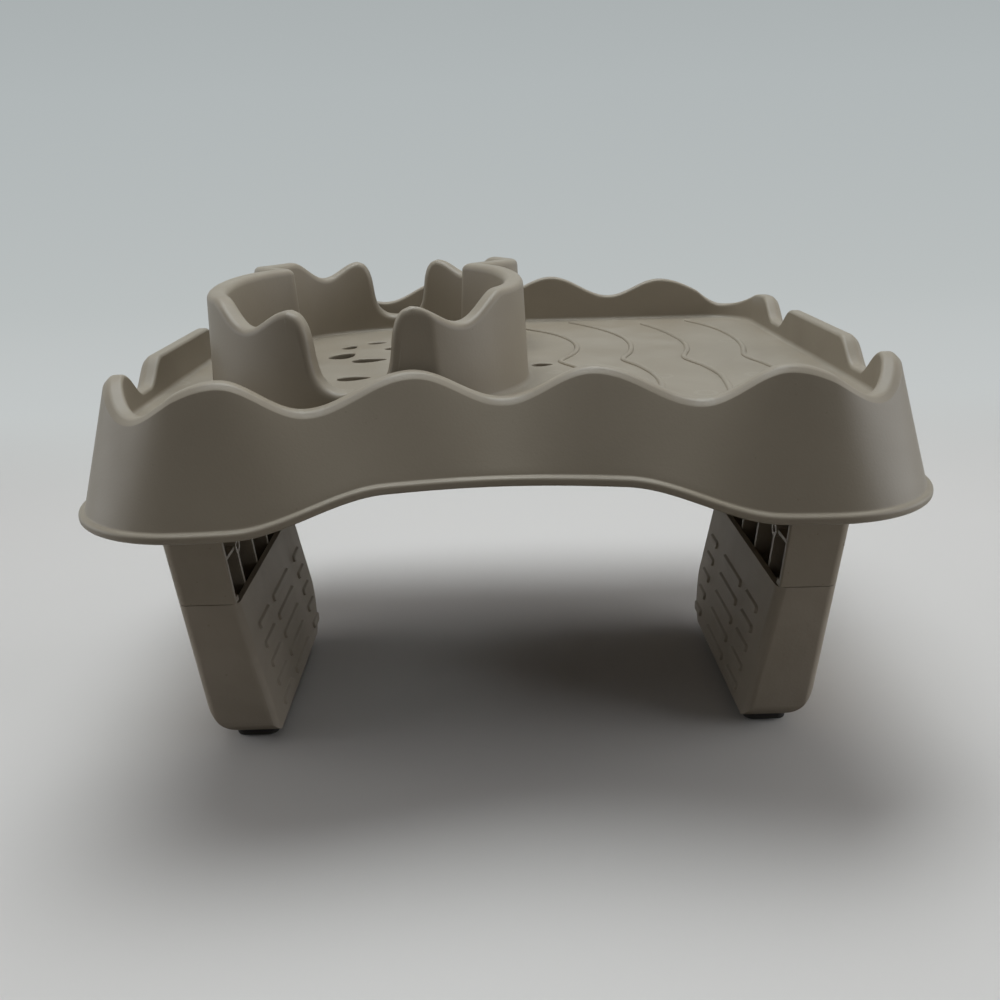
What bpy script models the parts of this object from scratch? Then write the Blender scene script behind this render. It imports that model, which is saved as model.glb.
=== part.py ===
"""Hot tub tray: a one-piece wavy-rimmed tray with a figure-of-eight cup holder, standing on two
ribbed leg posts whose lower halves are slip-on grip boots. Front is -Y, right is +X, up is +Z.
Lengths below are millimetres; MM turns them into metres when a mesh is made."""

import math

import bmesh
import bpy
from mathutils import Matrix, Vector

MM = 0.001

# Tray outline and rim
TRAY_HALF_WIDTH = 180.0
TRAY_HALF_DEPTH = 156.0
CORNER_RADIUS = 53.0
FRONT_HOLLOW = 19.5      # how far the front edge curves inwards at its middle
BACK_SIDE_DROP = 4.0     # how far the back edge falls short at its ends
BEAD_Z = 140.0           # underside of the bead at the ends of the tray
ARCH_RISE = 13.2         # bead lifts by this much over the tub wall
ARCH_FLAT = 47.0
ARCH_END = 106.0
BEAD_HEIGHT = 3.9
BEAD_PROUD = 2.6
WALL = 2.6               # moulded wall thickness
RIM_INSET = 16.4         # bead to rim, measured square to the outline
LIP = 8.2                # width of the rim's rolled top
RIM_FOOT = RIM_INSET + LIP + 2.5   # where the rim's inner side has run out into the floor
FLOOR_Z = 179.5
FLOOR_THICK = 2.6

# Crests and troughs of the rim on the right half, front middle to back middle: places as shares
# of the half width or half depth, heights above the floor, and steps on the way to the next one
RIM_WAVE_SHARES = [
    ("x", 0.0), ("x", 0.2061), ("x", 0.4322), ("x", 0.6167), ("x", 0.8111), ("y", -0.6667),
    ("y", -0.532), ("y", -0.478), ("y", -0.349), ("y", 0.154), ("y", 0.295), ("y", 0.372),
    ("y", 0.513), ("x", 0.79), ("x", 0.567), ("x", 0.3917), ("x", 0.189), ("x", 0.0),
]
RIM_WAVE_HEIGHTS = [
    5.5, 18.1, 5.5, 19.2, 5.0, 17.3, 5.7, 5.7, 17.0, 17.2, 6.5, 6.5, 18.2, 8.2, 24.4, 14.8, 27.3,
    17.0,
]
RIM_WAVE_COUNTS = [6, 6, 6, 6, 6, 5, 1, 5, 4, 5, 1, 5, 6, 6, 6, 6, 6]

# Cup holder: two overlapping rings
CUP_SETBACK = 119.6      # ring centres from the left end of the tray
CUP_X = CUP_SETBACK - TRAY_HALF_WIDTH
CUP_Y = 3.0
CUP_OUTER = 71.4
CUP_WALL = 8.6
CUP_SPACING = 95.5
CUP_DRAFT = 2.0
CUP_CUSP_FILLET = 4.0
CUP_FILLET = 2.4
CUP_SEAT = 0.6           # least floor between a ring and the rim
CUP_SQUEEZE = 0.6
CUP_TOP = 228.0
# Crests and troughs of a ring's wall: degrees round from the middle of its gap, share of the
# full height, and steps on the way to the next one
CUP_WAVE_ANGLES = [0.0, 3.5, 20.5, 38.5, 60.0, 128.0]
CUP_WAVE_SHARES = [0.1856, 0.1856, 0.8619, 0.6969, 0.9258, 1.0]
CUP_WAVE_COUNTS = [1, 9, 6, 6, 6]
CUP_GAP_STEEPNESS = 0.9    # of the sides of the gap, 0 for a plain wave

# Drain holes in the floor: x and y from the middle of the cup holder, length and width
DRAIN_HOLES = [
    (-23.9, 20.8, 19.0, 11.5), (-8.2, 5.6, 18.0, 11.0), (-23.6, 47.8, 12.0, 7.0),
    (-9.6, 61.0, 11.0, 6.5), (2.4, 39.5, 11.5, 8.0), (-10.4, -42.3, 16.0, 9.5),
    (11.8, -45.0, 13.0, 8.0), (17.9, 13.0, 17.0, 10.0), (15.9, 55.0, 12.0, 7.0),
    (81.1, -21.3, 10.5, 8.0),
]
DRAIN_TURNS = [66.0, 14.0, 68.0, 20.0, -30.0, 12.0, -20.0, -58.0, -50.0, 5.0]   # degrees
DRAIN_SIDES = 12

# Legs: the right leg's faces lean, x = base + lean * z
LEG_HALF_DEPTH = 70.5
LEG_SETBACK = 30.2       # outer face at the ground, from the end of the tray
BOOT_THICK = 34.5
POST_THICK = 27.1
LEG_OUTER = (TRAY_HALF_WIDTH - LEG_SETBACK, 0.128)
BOOT_INNER = (LEG_OUTER[0] - BOOT_THICK, 0.191)
POST_INNER = (LEG_OUTER[0] - POST_THICK, 0.108)
TOOL_MARGIN = 40.0       # cutting shapes stand this far past the leg
SEAM_Z = 77.0
SEAM_GAP = 0.4
BOOT_BOTTOM = 5.0
BOOT_WALL = 3.0
BOOT_CAVITY_Z = 10.0
HEEL_DEPTH = 36.0        # the rear lower corner of a boot is a quarter ellipse
HEEL_HEIGHT = 48.0
TOE_RADIUS = 8.0
BOOT_EDGE_RADIUS = 19.0
BOOT_TOE_EDGE = 2.5
LEG_CORNER = 5.0
AXIS_LEAN = 0.153        # slope of the line the boot slides on
CORE_BOTTOM = 26.0
CORE_CLEAR = 0.4
CORE_LIFT = 2.0
CAVITY_LEFT = BOOT_INNER[0] + BOOT_INNER[1] * SEAM_Z + BOOT_WALL    # at the seam
CAVITY_RIGHT = LEG_OUTER[0] + LEG_OUTER[1] * SEAM_Z - BOOT_WALL
POST_TOP = 153.5
POST_STEP = 3.0          # top of the core's hollow above the seam
POST_PLATE = 3.5
POST_WALL = 2.5
RIB_PITCH = LEG_HALF_DEPTH * 0.4
RIB_THICK = 2.4
RIB_RECESS = 2.3
BOSS_Z = 98.4
BOSS_SHIFT = 2.5         # towards the nearest end wall from its rib
BOSS_OUTER = 8.5
BOSS_BORE = 4.4
BOSS_DEPTH = 16.0
BOSS_PROUD = 1.5         # boss face in front of the ribs
WEB_SETBACK = 0.7
WEB_THICK = 1.8

# Grip grooves: rows from the top, three dashes in each
GRIP_TOP_Z = 56.7
GRIP_PITCH = 10.9
GRIP_ROWS = 5
GRIP_HEIGHT = 2.6
GRIP_DEPTH = 1.0
GRIP_DRAFT = 0.5
GRIP_DASH_SHARES = [(-0.738, -0.397), (-0.262, 0.319), (0.553, 0.809)]   # of the half depth

# Foot pads, set into the boots
PAD_X = (LEG_OUTER[0] - 30.2, LEG_OUTER[0] - 8.8)
PAD_Y = (6.5 - LEG_HALF_DEPTH, LEG_HALF_DEPTH - HEEL_DEPTH - 0.5)
PAD_THICK = 6.6
PAD_RADIUS = 5.0
PAD_CHAMFER = 0.6
FIT_GAP = 0.3

# Screws that hold the posts up to the tray
SCREW_X = LEG_OUTER[0] + 1.2
SCREW_YS = [-2 * RIB_PITCH, 0.0, 2 * RIB_PITCH]
PILLAR_OUTER = 8.6
SCREW_SHANK = 4.0
SCREW_HEAD = 7.6
SCREW_HEAD_HEIGHT = 2.4
SCREW_REACH = 10.0       # length of shank above the post's top plate
SCREW_TIP = 1.4
SCREW_CROWN = 0.8

COLLECTION = "hot_tub_tray"
CUTTERS = "cutters"


def clear_scene():
    for obj in list(bpy.data.objects):
        bpy.data.objects.remove(obj, do_unlink=True)
    for coll in list(bpy.data.collections):
        bpy.data.collections.remove(coll)


def collection(name):
    coll = bpy.data.collections.get(name)
    if coll is None:
        coll = bpy.data.collections.new(name)
        bpy.context.scene.collection.children.link(coll)
    return coll


def material(name, colour, roughness, metallic=0.0):
    mat = bpy.data.materials.get(name) or bpy.data.materials.new(name)
    mat.use_nodes = True
    shader = mat.node_tree.nodes["Principled BSDF"]
    shader.inputs["Base Color"].default_value = (*colour, 1.0)
    shader.inputs["Roughness"].default_value = roughness
    shader.inputs["Metallic"].default_value = metallic
    mat.diffuse_color = (*colour, 1.0)
    return mat


def tray_plastic():
    return material("tray_plastic", (0.43, 0.37, 0.30), 0.5)


def leg_plastic():
    return material("leg_plastic", (0.42, 0.36, 0.29), 0.52)


def boot_plastic():
    return material("boot_plastic", (0.41, 0.35, 0.285), 0.55)


def pad_rubber():
    return material("pad_rubber", (0.03, 0.028, 0.026), 0.8)


def screw_steel():
    return material("screw_steel", (0.6, 0.6, 0.58), 0.35, 1.0)


def mesh_object(name, bm, coll, mat=None):
    """Turn a bmesh in millimetres into an object in metres with outward faces."""
    bmesh.ops.remove_doubles(bm, verts=bm.verts, dist=0.01)
    bmesh.ops.recalc_face_normals(bm, faces=bm.faces)
    bmesh.ops.scale(bm, vec=(MM, MM, MM), verts=bm.verts)
    mesh = bpy.data.meshes.new(name)
    bm.to_mesh(mesh)
    bm.free()
    obj = bpy.data.objects.new(name, mesh)
    collection(coll).objects.link(obj)
    if mat:
        mesh.materials.append(mat)
    return obj


def apply_modifiers(obj):
    depsgraph = bpy.context.evaluated_depsgraph_get()
    mesh = bpy.data.meshes.new_from_object(obj.evaluated_get(depsgraph))
    old = obj.data
    obj.modifiers.clear()
    obj.data = mesh
    mesh.name = old.name
    if old.users == 0:
        bpy.data.meshes.remove(old)


def combine(target, tool, operation):
    """Join, cut or intersect target with tool, and drop the tool."""
    tool.hide_render = True
    tool.display_type = "WIRE"
    mod = target.modifiers.new("cut", "BOOLEAN")
    mod.operation = operation
    mod.solver = "EXACT"
    mod.object = tool
    apply_modifiers(target)
    bpy.data.objects.remove(tool, do_unlink=True)


def set_origin(obj, point):
    """Put an object's origin at a point in millimetres and leave its shape where it is."""
    offset = Vector(point) * MM
    obj.data.transform(Matrix.Translation(-offset))
    obj.location = offset


def shade(obj, angle=35.0):
    obj.data.shade_smooth()
    obj.data.set_sharp_from_angle(angle=math.radians(angle))


def ring_faces(bm, loops, closed_rows=False):
    """Quads between matching loops of vertices; each loop is closed on itself."""
    pairs = list(zip(loops, loops[1:]))
    if closed_rows:
        pairs.append((loops[-1], loops[0]))
    for low, high in pairs:
        n = len(low)
        for i in range(n):
            bm.faces.new((low[i], low[(i + 1) % n], high[(i + 1) % n], high[i]))


def loop_verts(bm, points):
    return [bm.verts.new(p) for p in points]


def loop_edges(bm, verts):
    edges = []
    for a, b in zip(verts, verts[1:] + verts[:1]):
        edge = bm.edges.get((a, b)) or bm.edges.new((a, b))
        edges.append(edge)
    return edges


def prism(name, sections, caps=True):
    """Solid through matching closed sections of 3-D points."""
    bm = bmesh.new()
    loops = [loop_verts(bm, s) for s in sections]
    ring_faces(bm, loops)
    if caps:
        bm.faces.new(loops[0])
        bm.faces.new(loops[-1])
    return mesh_object(name, bm, CUTTERS)


def cylinder(name, centre, axis, diameter, length, sides=24):
    """Cylinder starting at centre and running along axis, a unit letter x or z."""
    bm = bmesh.new()
    middle = Vector(centre) + Vector((length / 2, 0, 0) if axis == "x" else (0, 0, length / 2))
    turn = Matrix.Rotation(math.radians(90), 4, "Y") if axis == "x" else Matrix.Identity(4)
    bmesh.ops.create_cone(bm, cap_ends=True, segments=sides, radius1=diameter / 2,
                          radius2=diameter / 2, depth=abs(length),
                          matrix=Matrix.Translation(middle) @ turn)
    return mesh_object(name, bm, CUTTERS)


def rounded_rectangle(x0, x1, y0, y1, radii, steps=4):
    """Closed outline; radii are for the corners x1y0, x1y1, x0y1, x0y0."""
    corners = [(x1, y0, -90), (x1, y1, 0), (x0, y1, 90), (x0, y0, 180)]
    points = []
    for (cx, cy, start), radius in zip(corners, radii):
        mx = cx - radius if cx == x1 else cx + radius
        my = cy + radius if cy == y0 else cy - radius
        for k in range(steps + 1):
            a = math.radians(start + 90 * k / steps)
            points.append((mx + radius * math.cos(a), my + radius * math.sin(a)))
    return points


def smooth_step(t):
    t = min(1.0, max(0.0, t))
    return t * t * (3 - 2 * t)


def lean(face, z):
    return face[0] + face[1] * z


def wave(a, b, t, steepness=0.0):
    """Height between a crest and a trough at t from 0 to 1."""
    t -= steepness * math.sin(2 * math.pi * t) / (2 * math.pi)
    return a + (b - a) * (1 - math.cos(math.pi * t)) / 2


def front_edge(x):
    """Bead outline along the front, hollowed towards the middle."""
    bend = math.cos(math.pi * x / (2 * (TRAY_HALF_WIDTH - CORNER_RADIUS))) ** 2
    return -TRAY_HALF_DEPTH + FRONT_HOLLOW * bend


def back_edge(x):
    bend = math.cos(math.pi * x / (2 * (TRAY_HALF_WIDTH - CORNER_RADIUS))) ** 2
    return TRAY_HALF_DEPTH - BACK_SIDE_DROP * (1 - bend)


def half_outline():
    """Bead outline from front middle round the right end to back middle, in 1 mm steps."""
    straight_x = TRAY_HALF_WIDTH - CORNER_RADIUS
    n = int(straight_x)
    points = [(straight_x * k / n, front_edge(straight_x * k / n)) for k in range(n)]
    back_y = TRAY_HALF_DEPTH - BACK_SIDE_DROP
    steps = 80
    for k in range(steps + 1):
        a = math.radians(-90 + 90 * k / steps)
        points.append((straight_x + CORNER_RADIUS * math.cos(a),
                       -TRAY_HALF_DEPTH + CORNER_RADIUS * (1 + math.sin(a))))
    length = back_y - CORNER_RADIUS + TRAY_HALF_DEPTH - CORNER_RADIUS
    m = int(length)
    y0 = -TRAY_HALF_DEPTH + CORNER_RADIUS
    points += [(TRAY_HALF_WIDTH, y0 + length * k / m) for k in range(1, m)]
    for k in range(steps + 1):
        a = math.radians(90 * k / steps)
        points.append((straight_x + CORNER_RADIUS * math.cos(a),
                       back_y - CORNER_RADIUS + CORNER_RADIUS * math.sin(a)))
    for k in range(1, n + 1):
        x = straight_x * (1 - k / n)
        points.append((x, back_edge(x)))
    return points


def outline_samples():
    """Points, inward normals, rim heights and bead heights all the way round the tray."""
    line = [Vector((x, y)) for x, y in half_outline()]
    normals = []
    for i in range(len(line)):
        step = line[min(i + 1, len(line) - 1)] - line[max(i - 1, 0)]
        normals.append(Vector((-step.y, step.x)).normalized())
    normals[0] = Vector((0, 1))
    normals[-1] = Vector((0, -1))
    middle = RIM_INSET + LIP / 2
    rim = [p + nrm * middle for p, nrm in zip(line, normals)]
    indices = [0]
    for axis, share in RIM_WAVE_SHARES[1:-1]:
        axis_index = 0 if axis == "x" else 1
        value = share * (TRAY_HALF_DEPTH if axis_index else TRAY_HALF_WIDTH)
        i = indices[-1] + 2
        while (rim[i][axis_index] - value) * (rim[i + 1][axis_index] - value) > 0:
            i += 1
        indices.append(i)
    indices.append(len(line) - 1)
    right = []
    heights = [FLOOR_Z + height for height in RIM_WAVE_HEIGHTS]
    for k, count in enumerate(RIM_WAVE_COUNTS):
        height, following = heights[k], heights[k + 1]
        for j in range(count):
            t = j / count
            at = indices[k] + (indices[k + 1] - indices[k]) * t
            i = int(at)
            f = at - i
            point = line[i].lerp(line[min(i + 1, len(line) - 1)], f)
            normal = normals[i].lerp(normals[min(i + 1, len(line) - 1)], f).normalized()
            right.append((point, normal, wave(height, following, t)))
    right.append((line[-1], normals[-1], heights[-1]))
    left = [(Vector((-p.x, p.y)), Vector((-n.x, n.y)), h) for p, n, h in reversed(right[1:-1])]
    samples = []
    for point, normal, height in right + left:
        across = abs(point.y) > TRAY_HALF_DEPTH - CORNER_RADIUS
        rise = ARCH_RISE * (1 - smooth_step((abs(point.x) - ARCH_FLAT) / (ARCH_END - ARCH_FLAT)))
        samples.append((point, normal, height, BEAD_Z + (rise if across else 0.0)))
    return samples


def rim_sections():
    """The rim's section, outside skin then hidden skin, as (inset, height) functions."""
    top_in = RIM_INSET + LIP
    foot = RIM_FOOT - 2.3
    return [
        lambda rim, bead: (BEAD_PROUD + WALL - 0.8, bead),
        lambda rim, bead: (1.3, bead),
        lambda rim, bead: (0.0, bead + 1.4),
        lambda rim, bead: (0.0, bead + BEAD_HEIGHT - 1.4),
        lambda rim, bead: (1.2, bead + BEAD_HEIGHT - 0.3),
        lambda rim, bead: (BEAD_PROUD, bead + BEAD_HEIGHT),
        lambda rim, bead: (RIM_INSET, rim - 2.6),
        lambda rim, bead: (RIM_INSET + 1.4, rim - 1.2),
        lambda rim, bead: (RIM_INSET + 2.7, rim - 0.35),
        lambda rim, bead: (RIM_INSET + 4.0, rim),
        lambda rim, bead: (top_in - 1.4, rim),
        lambda rim, bead: (top_in, rim - 1.3),
        lambda rim, bead: (foot, FLOOR_Z + 2.0),
        lambda rim, bead: (foot + 0.8, FLOOR_Z + 0.6),
        lambda rim, bead: (foot + 2.3, FLOOR_Z),
        lambda rim, bead: (foot - WALL, FLOOR_Z - FLOOR_THICK),
        lambda rim, bead: (top_in - WALL, rim - WALL - 0.6),
        lambda rim, bead: (RIM_INSET + WALL + 0.2, rim - WALL - 0.6),
        lambda rim, bead: (BEAD_PROUD + WALL + 0.1, bead + 1.2),
    ]


def cup_contour(radius):
    """Outline of the two overlapping rings at one radius, seen from above, in matching steps."""
    half = CUP_SPACING / 2
    fillet = CUP_CUSP_FILLET
    reach = radius + fillet
    cusp = 90 + math.degrees(math.asin(half / reach))
    centre_x = math.sqrt(reach * reach - half * half)
    angles = CUP_WAVE_ANGLES
    heights = [FLOOR_Z + share * (CUP_TOP - FLOOR_Z) for share in CUP_WAVE_SHARES]
    quarter = []
    for i, count in enumerate(CUP_WAVE_COUNTS):
        for k in range(count):
            t = k / count
            turn = (angles[i] + (angles[i + 1] - angles[i]) * t) / angles[-1]
            a = math.radians(-90 + cusp * turn)
            steepness = CUP_GAP_STEEPNESS if i == 1 else 0.0
            quarter.append((radius * math.cos(a), -half + radius * math.sin(a),
                            wave(heights[i], heights[i + 1], t, steepness)))
    a = math.radians(-90 + cusp)
    quarter.append((radius * math.cos(a), -half + radius * math.sin(a), heights[-1]))
    start = math.degrees(math.asin(half / reach)) + 180
    turn = start - 180
    for k in (1, 2):
        a = math.radians(start - turn * k / 2)
        quarter.append((centre_x + fillet * math.cos(a), fillet * math.sin(a), heights[-1]))
    front_right = quarter[:-1]
    cusp_right = quarter[-1]
    back_right = [(x, -y, z) for x, y, z in reversed(front_right[1:])]
    right = front_right + [cusp_right] + back_right + [(0.0, half + radius, heights[0])]
    left = [(-x, y, z) for x, y, z in reversed(right[1:-1])]
    # The rings run into the rim at front and back, so they are pressed flat against it there
    room = RIM_FOOT + CUP_SEAT + CUP_SQUEEZE * (cup_radius_outer(FLOOR_Z) + CUP_FILLET - radius)
    points = []
    for x, y, z in right + left:
        x, y = CUP_X + x, CUP_Y + y
        points.append((x, min(max(y, front_edge(x) + room), back_edge(x) - room), z))
    return points


def cup_radius_outer(z):
    return CUP_OUTER + CUP_DRAFT * (CUP_TOP - z) / (CUP_TOP - FLOOR_Z)


def cup_radius_inner(z):
    return CUP_OUTER - CUP_WALL - CUP_DRAFT * (CUP_TOP - z) / (CUP_TOP - FLOOR_Z)


def cup_sections():
    """Cup wall section, outside foot over the top to inside foot, then the hollow beneath."""
    outer, inner = cup_radius_outer, cup_radius_inner
    full = CUP_FILLET
    near = CUP_FILLET * (1 - math.sqrt(0.5))
    return [
        lambda z: (outer(FLOOR_Z) + full, FLOOR_Z),
        lambda z: (outer(FLOOR_Z) + near, FLOOR_Z + near),
        lambda z: (outer(FLOOR_Z), FLOOR_Z + full),
        lambda z: (outer(z), z - full),
        lambda z: (outer(z) - near, z - near),
        lambda z: (outer(z) - full, z),
        lambda z: (inner(z) + full, z),
        lambda z: (inner(z) + near, z - near),
        lambda z: (inner(z), z - full),
        lambda z: (inner(FLOOR_Z), FLOOR_Z + full),
        lambda z: (inner(FLOOR_Z) - near, FLOOR_Z + near),
        lambda z: (inner(FLOOR_Z) - full, FLOOR_Z),
    ], [
        lambda z: (outer(FLOOR_Z) - WALL + 0.4, FLOOR_Z - FLOOR_THICK),
        lambda z: (outer(z) - WALL, z - WALL - 0.5),
        lambda z: (inner(z) + WALL, z - WALL - 0.5),
        lambda z: (inner(FLOOR_Z) + WALL - 0.4, FLOOR_Z - FLOOR_THICK),
    ]


def cup_loops(bm, sections):
    """Vertex loops for sections whose radius depends on the local height of the wall."""
    heights = [z for _, _, z in cup_contour(CUP_OUTER)]
    loops = []
    for section in sections:
        cache = {}
        points = []
        for i, rim in enumerate(heights):
            radius, z = section(rim)
            if radius not in cache:
                cache[radius] = cup_contour(radius)
            x, y, _ = cache[radius][i]
            points.append((x, y, z))
        loops.append(loop_verts(bm, points))
    return loops


def drop_outline(x, y, length, width, turn):
    """Outline of a drain hole: an egg whose narrow end trails."""
    x, y = CUP_X + x, CUP_Y + y
    points = []
    for k in range(DRAIN_SIDES):
        a = 2 * math.pi * k / DRAIN_SIDES
        u = length / 2 * math.cos(a)
        v = width / 2 * math.sin(a) * (1 - 0.35 * math.cos(a))
        c, s = math.cos(math.radians(turn)), math.sin(math.radians(turn))
        points.append((x + u * c - v * s, y + u * s + v * c))
    return points


def build_tray():
    bm = bmesh.new()
    samples = outline_samples()
    rim_loops = []
    for section in rim_sections():
        points = []
        for point, normal, rim, bead in samples:
            inset, z = section(rim, bead)
            at = point + normal * inset
            points.append((at.x, at.y, z))
        rim_loops.append(loop_verts(bm, points))
    skin_rows = 15
    top_edge, under_edge = rim_loops[skin_rows - 1], rim_loops[skin_rows]
    ring_faces(bm, rim_loops[:skin_rows])
    ring_faces(bm, rim_loops[skin_rows:] + rim_loops[:1])
    skin, hollow = cup_sections()
    skin_loops = cup_loops(bm, skin)
    hollow_loops = cup_loops(bm, hollow)
    ring_faces(bm, skin_loops)
    ring_faces(bm, hollow_loops)
    inside_top, inside_under, outside_top, outside_under = [], [], [], []
    for hole, turn in zip(DRAIN_HOLES, DRAIN_TURNS):
        outline = drop_outline(*hole, turn)
        upper = loop_verts(bm, [(x, y, FLOOR_Z) for x, y in outline])
        lower = loop_verts(bm, [(x, y, FLOOR_Z - FLOOR_THICK) for x, y in outline])
        ring_faces(bm, [upper, lower])
        beyond = hole[0] > CUP_OUTER
        (outside_top if beyond else inside_top).append(upper)
        (outside_under if beyond else inside_under).append(lower)
    for loops in ([top_edge, skin_loops[0]] + outside_top, [skin_loops[-1]] + inside_top,
                  [under_edge, hollow_loops[0]] + outside_under,
                  [hollow_loops[-1]] + inside_under):
        edges = []
        for loop in loops:
            edges += loop_edges(bm, loop)
        bmesh.ops.triangle_fill(bm, use_beauty=True, use_dissolve=False, edges=edges)
    tray = mesh_object("tray", bm, COLLECTION, tray_plastic())
    for side in (-1, 1):
        for y in SCREW_YS:
            foot_z = POST_TOP + FIT_GAP
            height = FLOOR_Z - FLOOR_THICK / 2 - foot_z
            pillar = cylinder("pillar", (side * SCREW_X, y, foot_z), "z", PILLAR_OUTER, height, 16)
            combine(tray, pillar, "UNION")
            depth = SCREW_REACH + 2.0
            bore = cylinder("bore", (side * SCREW_X, y, foot_z - 1.0), "z",
                            SCREW_SHANK + 2 * FIT_GAP, depth + 1.0, 12)
            combine(tray, bore, "DIFFERENCE")
    shade(tray, 40.0)
    return tray


def side_profile(inset, bottom, top):
    """Boot side view (y, z): small radius at the toe, large quarter ellipse at the heel."""
    front = -LEG_HALF_DEPTH + inset
    back = LEG_HALF_DEPTH - inset
    toe = max(1.5, TOE_RADIUS - inset)
    heel_y = HEEL_DEPTH - inset
    heel_z = HEEL_HEIGHT - inset
    points = [(front, top)]
    for k in range(4):
        a = math.radians(180 + 30 * k)
        points.append((front + toe + toe * math.cos(a), bottom + toe + toe * math.sin(a)))
    for k in range(9):
        a = math.radians(-90 + 90 * k / 8)
        points.append((back - heel_y + heel_y * math.cos(a), bottom + heel_z + heel_z * math.sin(a)))
    points.append((back, top))
    return points


def leaning_slab(name, side, profile, inner, outer):
    """Profile in (y, z) stretched between two leaning faces."""
    near = [(side * lean(inner, z), y, z) for y, z in profile]
    far = [(side * lean(outer, z), y, z) for y, z in profile]
    return prism(name, [near, far])


def across_prism(name, side, outline, y0, y1):
    """Outline in (x, z) stretched along y."""
    return prism(name, [[(side * x, y, z) for x, z in outline] for y in (y0, y1)])


def plan_loft(name, side, inner, outer, z0, z1, inner_radius):
    """Rounded rectangle in plan, leaning with the leg's faces."""
    sections = []
    for z in (z0, z1):
        outline = rounded_rectangle(lean(inner, z), lean(outer, z), -LEG_HALF_DEPTH,
                                    LEG_HALF_DEPTH, (LEG_CORNER, LEG_CORNER, inner_radius,
                                                     inner_radius))
        sections.append([(side * x, y, z) for x, y in outline])
    return prism(name, sections)


def cavity_faces(clear):
    """Faces of the boot's cavity, or of the core when clear is positive."""
    return ((CAVITY_LEFT + clear - AXIS_LEAN * SEAM_Z, AXIS_LEAN),
            (CAVITY_RIGHT - clear - AXIS_LEAN * SEAM_Z, AXIS_LEAN))


def boot_edge_outline():
    """Front view of a boot's body (x, z), with its rounded lower edges."""
    radius = BOOT_EDGE_RADIUS
    small = BOOT_TOE_EDGE
    top = SEAM_Z + TOOL_MARGIN
    points = [(lean(BOOT_INNER, top), top)]
    x0 = lean(BOOT_INNER, BOOT_BOTTOM)
    for k in range(4):
        a = math.radians(180 + 30 * k)
        points.append((x0 + small + small * math.cos(a), BOOT_BOTTOM + small + small * math.sin(a)))
    x1 = lean(LEG_OUTER, BOOT_BOTTOM + radius)
    for k in range(7):
        a = math.radians(-90 + 90 * k / 6)
        points.append((x1 - radius + radius * math.cos(a),
                       BOOT_BOTTOM + radius + radius * math.sin(a)))
    points.append((lean(LEG_OUTER, top), top))
    return points


def build_boot(side, name):
    body = plan_loft(name, side, BOOT_INNER, LEG_OUTER, 0.0, SEAM_Z, BOOT_WALL)
    far_y = LEG_HALF_DEPTH + TOOL_MARGIN
    wide = ((BOOT_INNER[0] - TOOL_MARGIN, 0.0), (LEG_OUTER[0] + TOOL_MARGIN, 0.0))
    profile = side_profile(0.0, BOOT_BOTTOM, SEAM_Z + TOOL_MARGIN)
    combine(body, leaning_slab("side", side, profile, *wide), "INTERSECT")
    combine(body, across_prism("edge", side, boot_edge_outline(), -far_y, far_y), "INTERSECT")
    hollow = side_profile(BOOT_WALL, BOOT_CAVITY_Z, SEAM_Z + TOOL_MARGIN)
    combine(body, leaning_slab("cavity", side, hollow, *cavity_faces(0.0)), "DIFFERENCE")
    gap = FIT_GAP
    outline = rounded_rectangle(PAD_X[0] - gap, PAD_X[1] + gap, PAD_Y[0] - gap, PAD_Y[1] + gap,
                                [PAD_RADIUS + gap] * 4)
    recess = prism("recess", [[(side * x, y, z) for x, y in outline]
                              for z in (-1.0, PAD_THICK + gap)])
    combine(body, recess, "DIFFERENCE")
    for row in range(GRIP_ROWS):
        z = GRIP_TOP_Z - GRIP_PITCH * row
        low, high = z - GRIP_HEIGHT / 2, z + GRIP_HEIGHT / 2
        outline = [(lean(BOOT_INNER, low) - GRIP_HEIGHT, low),
                   (lean(BOOT_INNER, low) + GRIP_DEPTH, low + GRIP_DRAFT),
                   (lean(BOOT_INNER, high) + GRIP_DEPTH, high - GRIP_DRAFT),
                   (lean(BOOT_INNER, high) - GRIP_HEIGHT, high)]
        for start, end in GRIP_DASH_SHARES:
            dash = across_prism("dash", side, outline, start * LEG_HALF_DEPTH,
                                end * LEG_HALF_DEPTH)
            combine(body, dash, "DIFFERENCE")
    finish_part(body, name, boot_plastic())
    set_origin(body, slide_point(side))
    return body


def slide_point(side):
    """Point on the line that a boot slides along, at the seam."""
    return (side * (CAVITY_LEFT + CAVITY_RIGHT) / 2, 0.0, SEAM_Z)


def finish_part(obj, name, mat):
    """Move a finished body out of the cutters' collection and give it its name and colour."""
    collection(CUTTERS).objects.unlink(obj)
    collection(COLLECTION).objects.link(obj)
    obj.name = name
    obj.data.name = name
    obj.data.materials.clear()
    obj.data.materials.append(mat)
    shade(obj)


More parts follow.
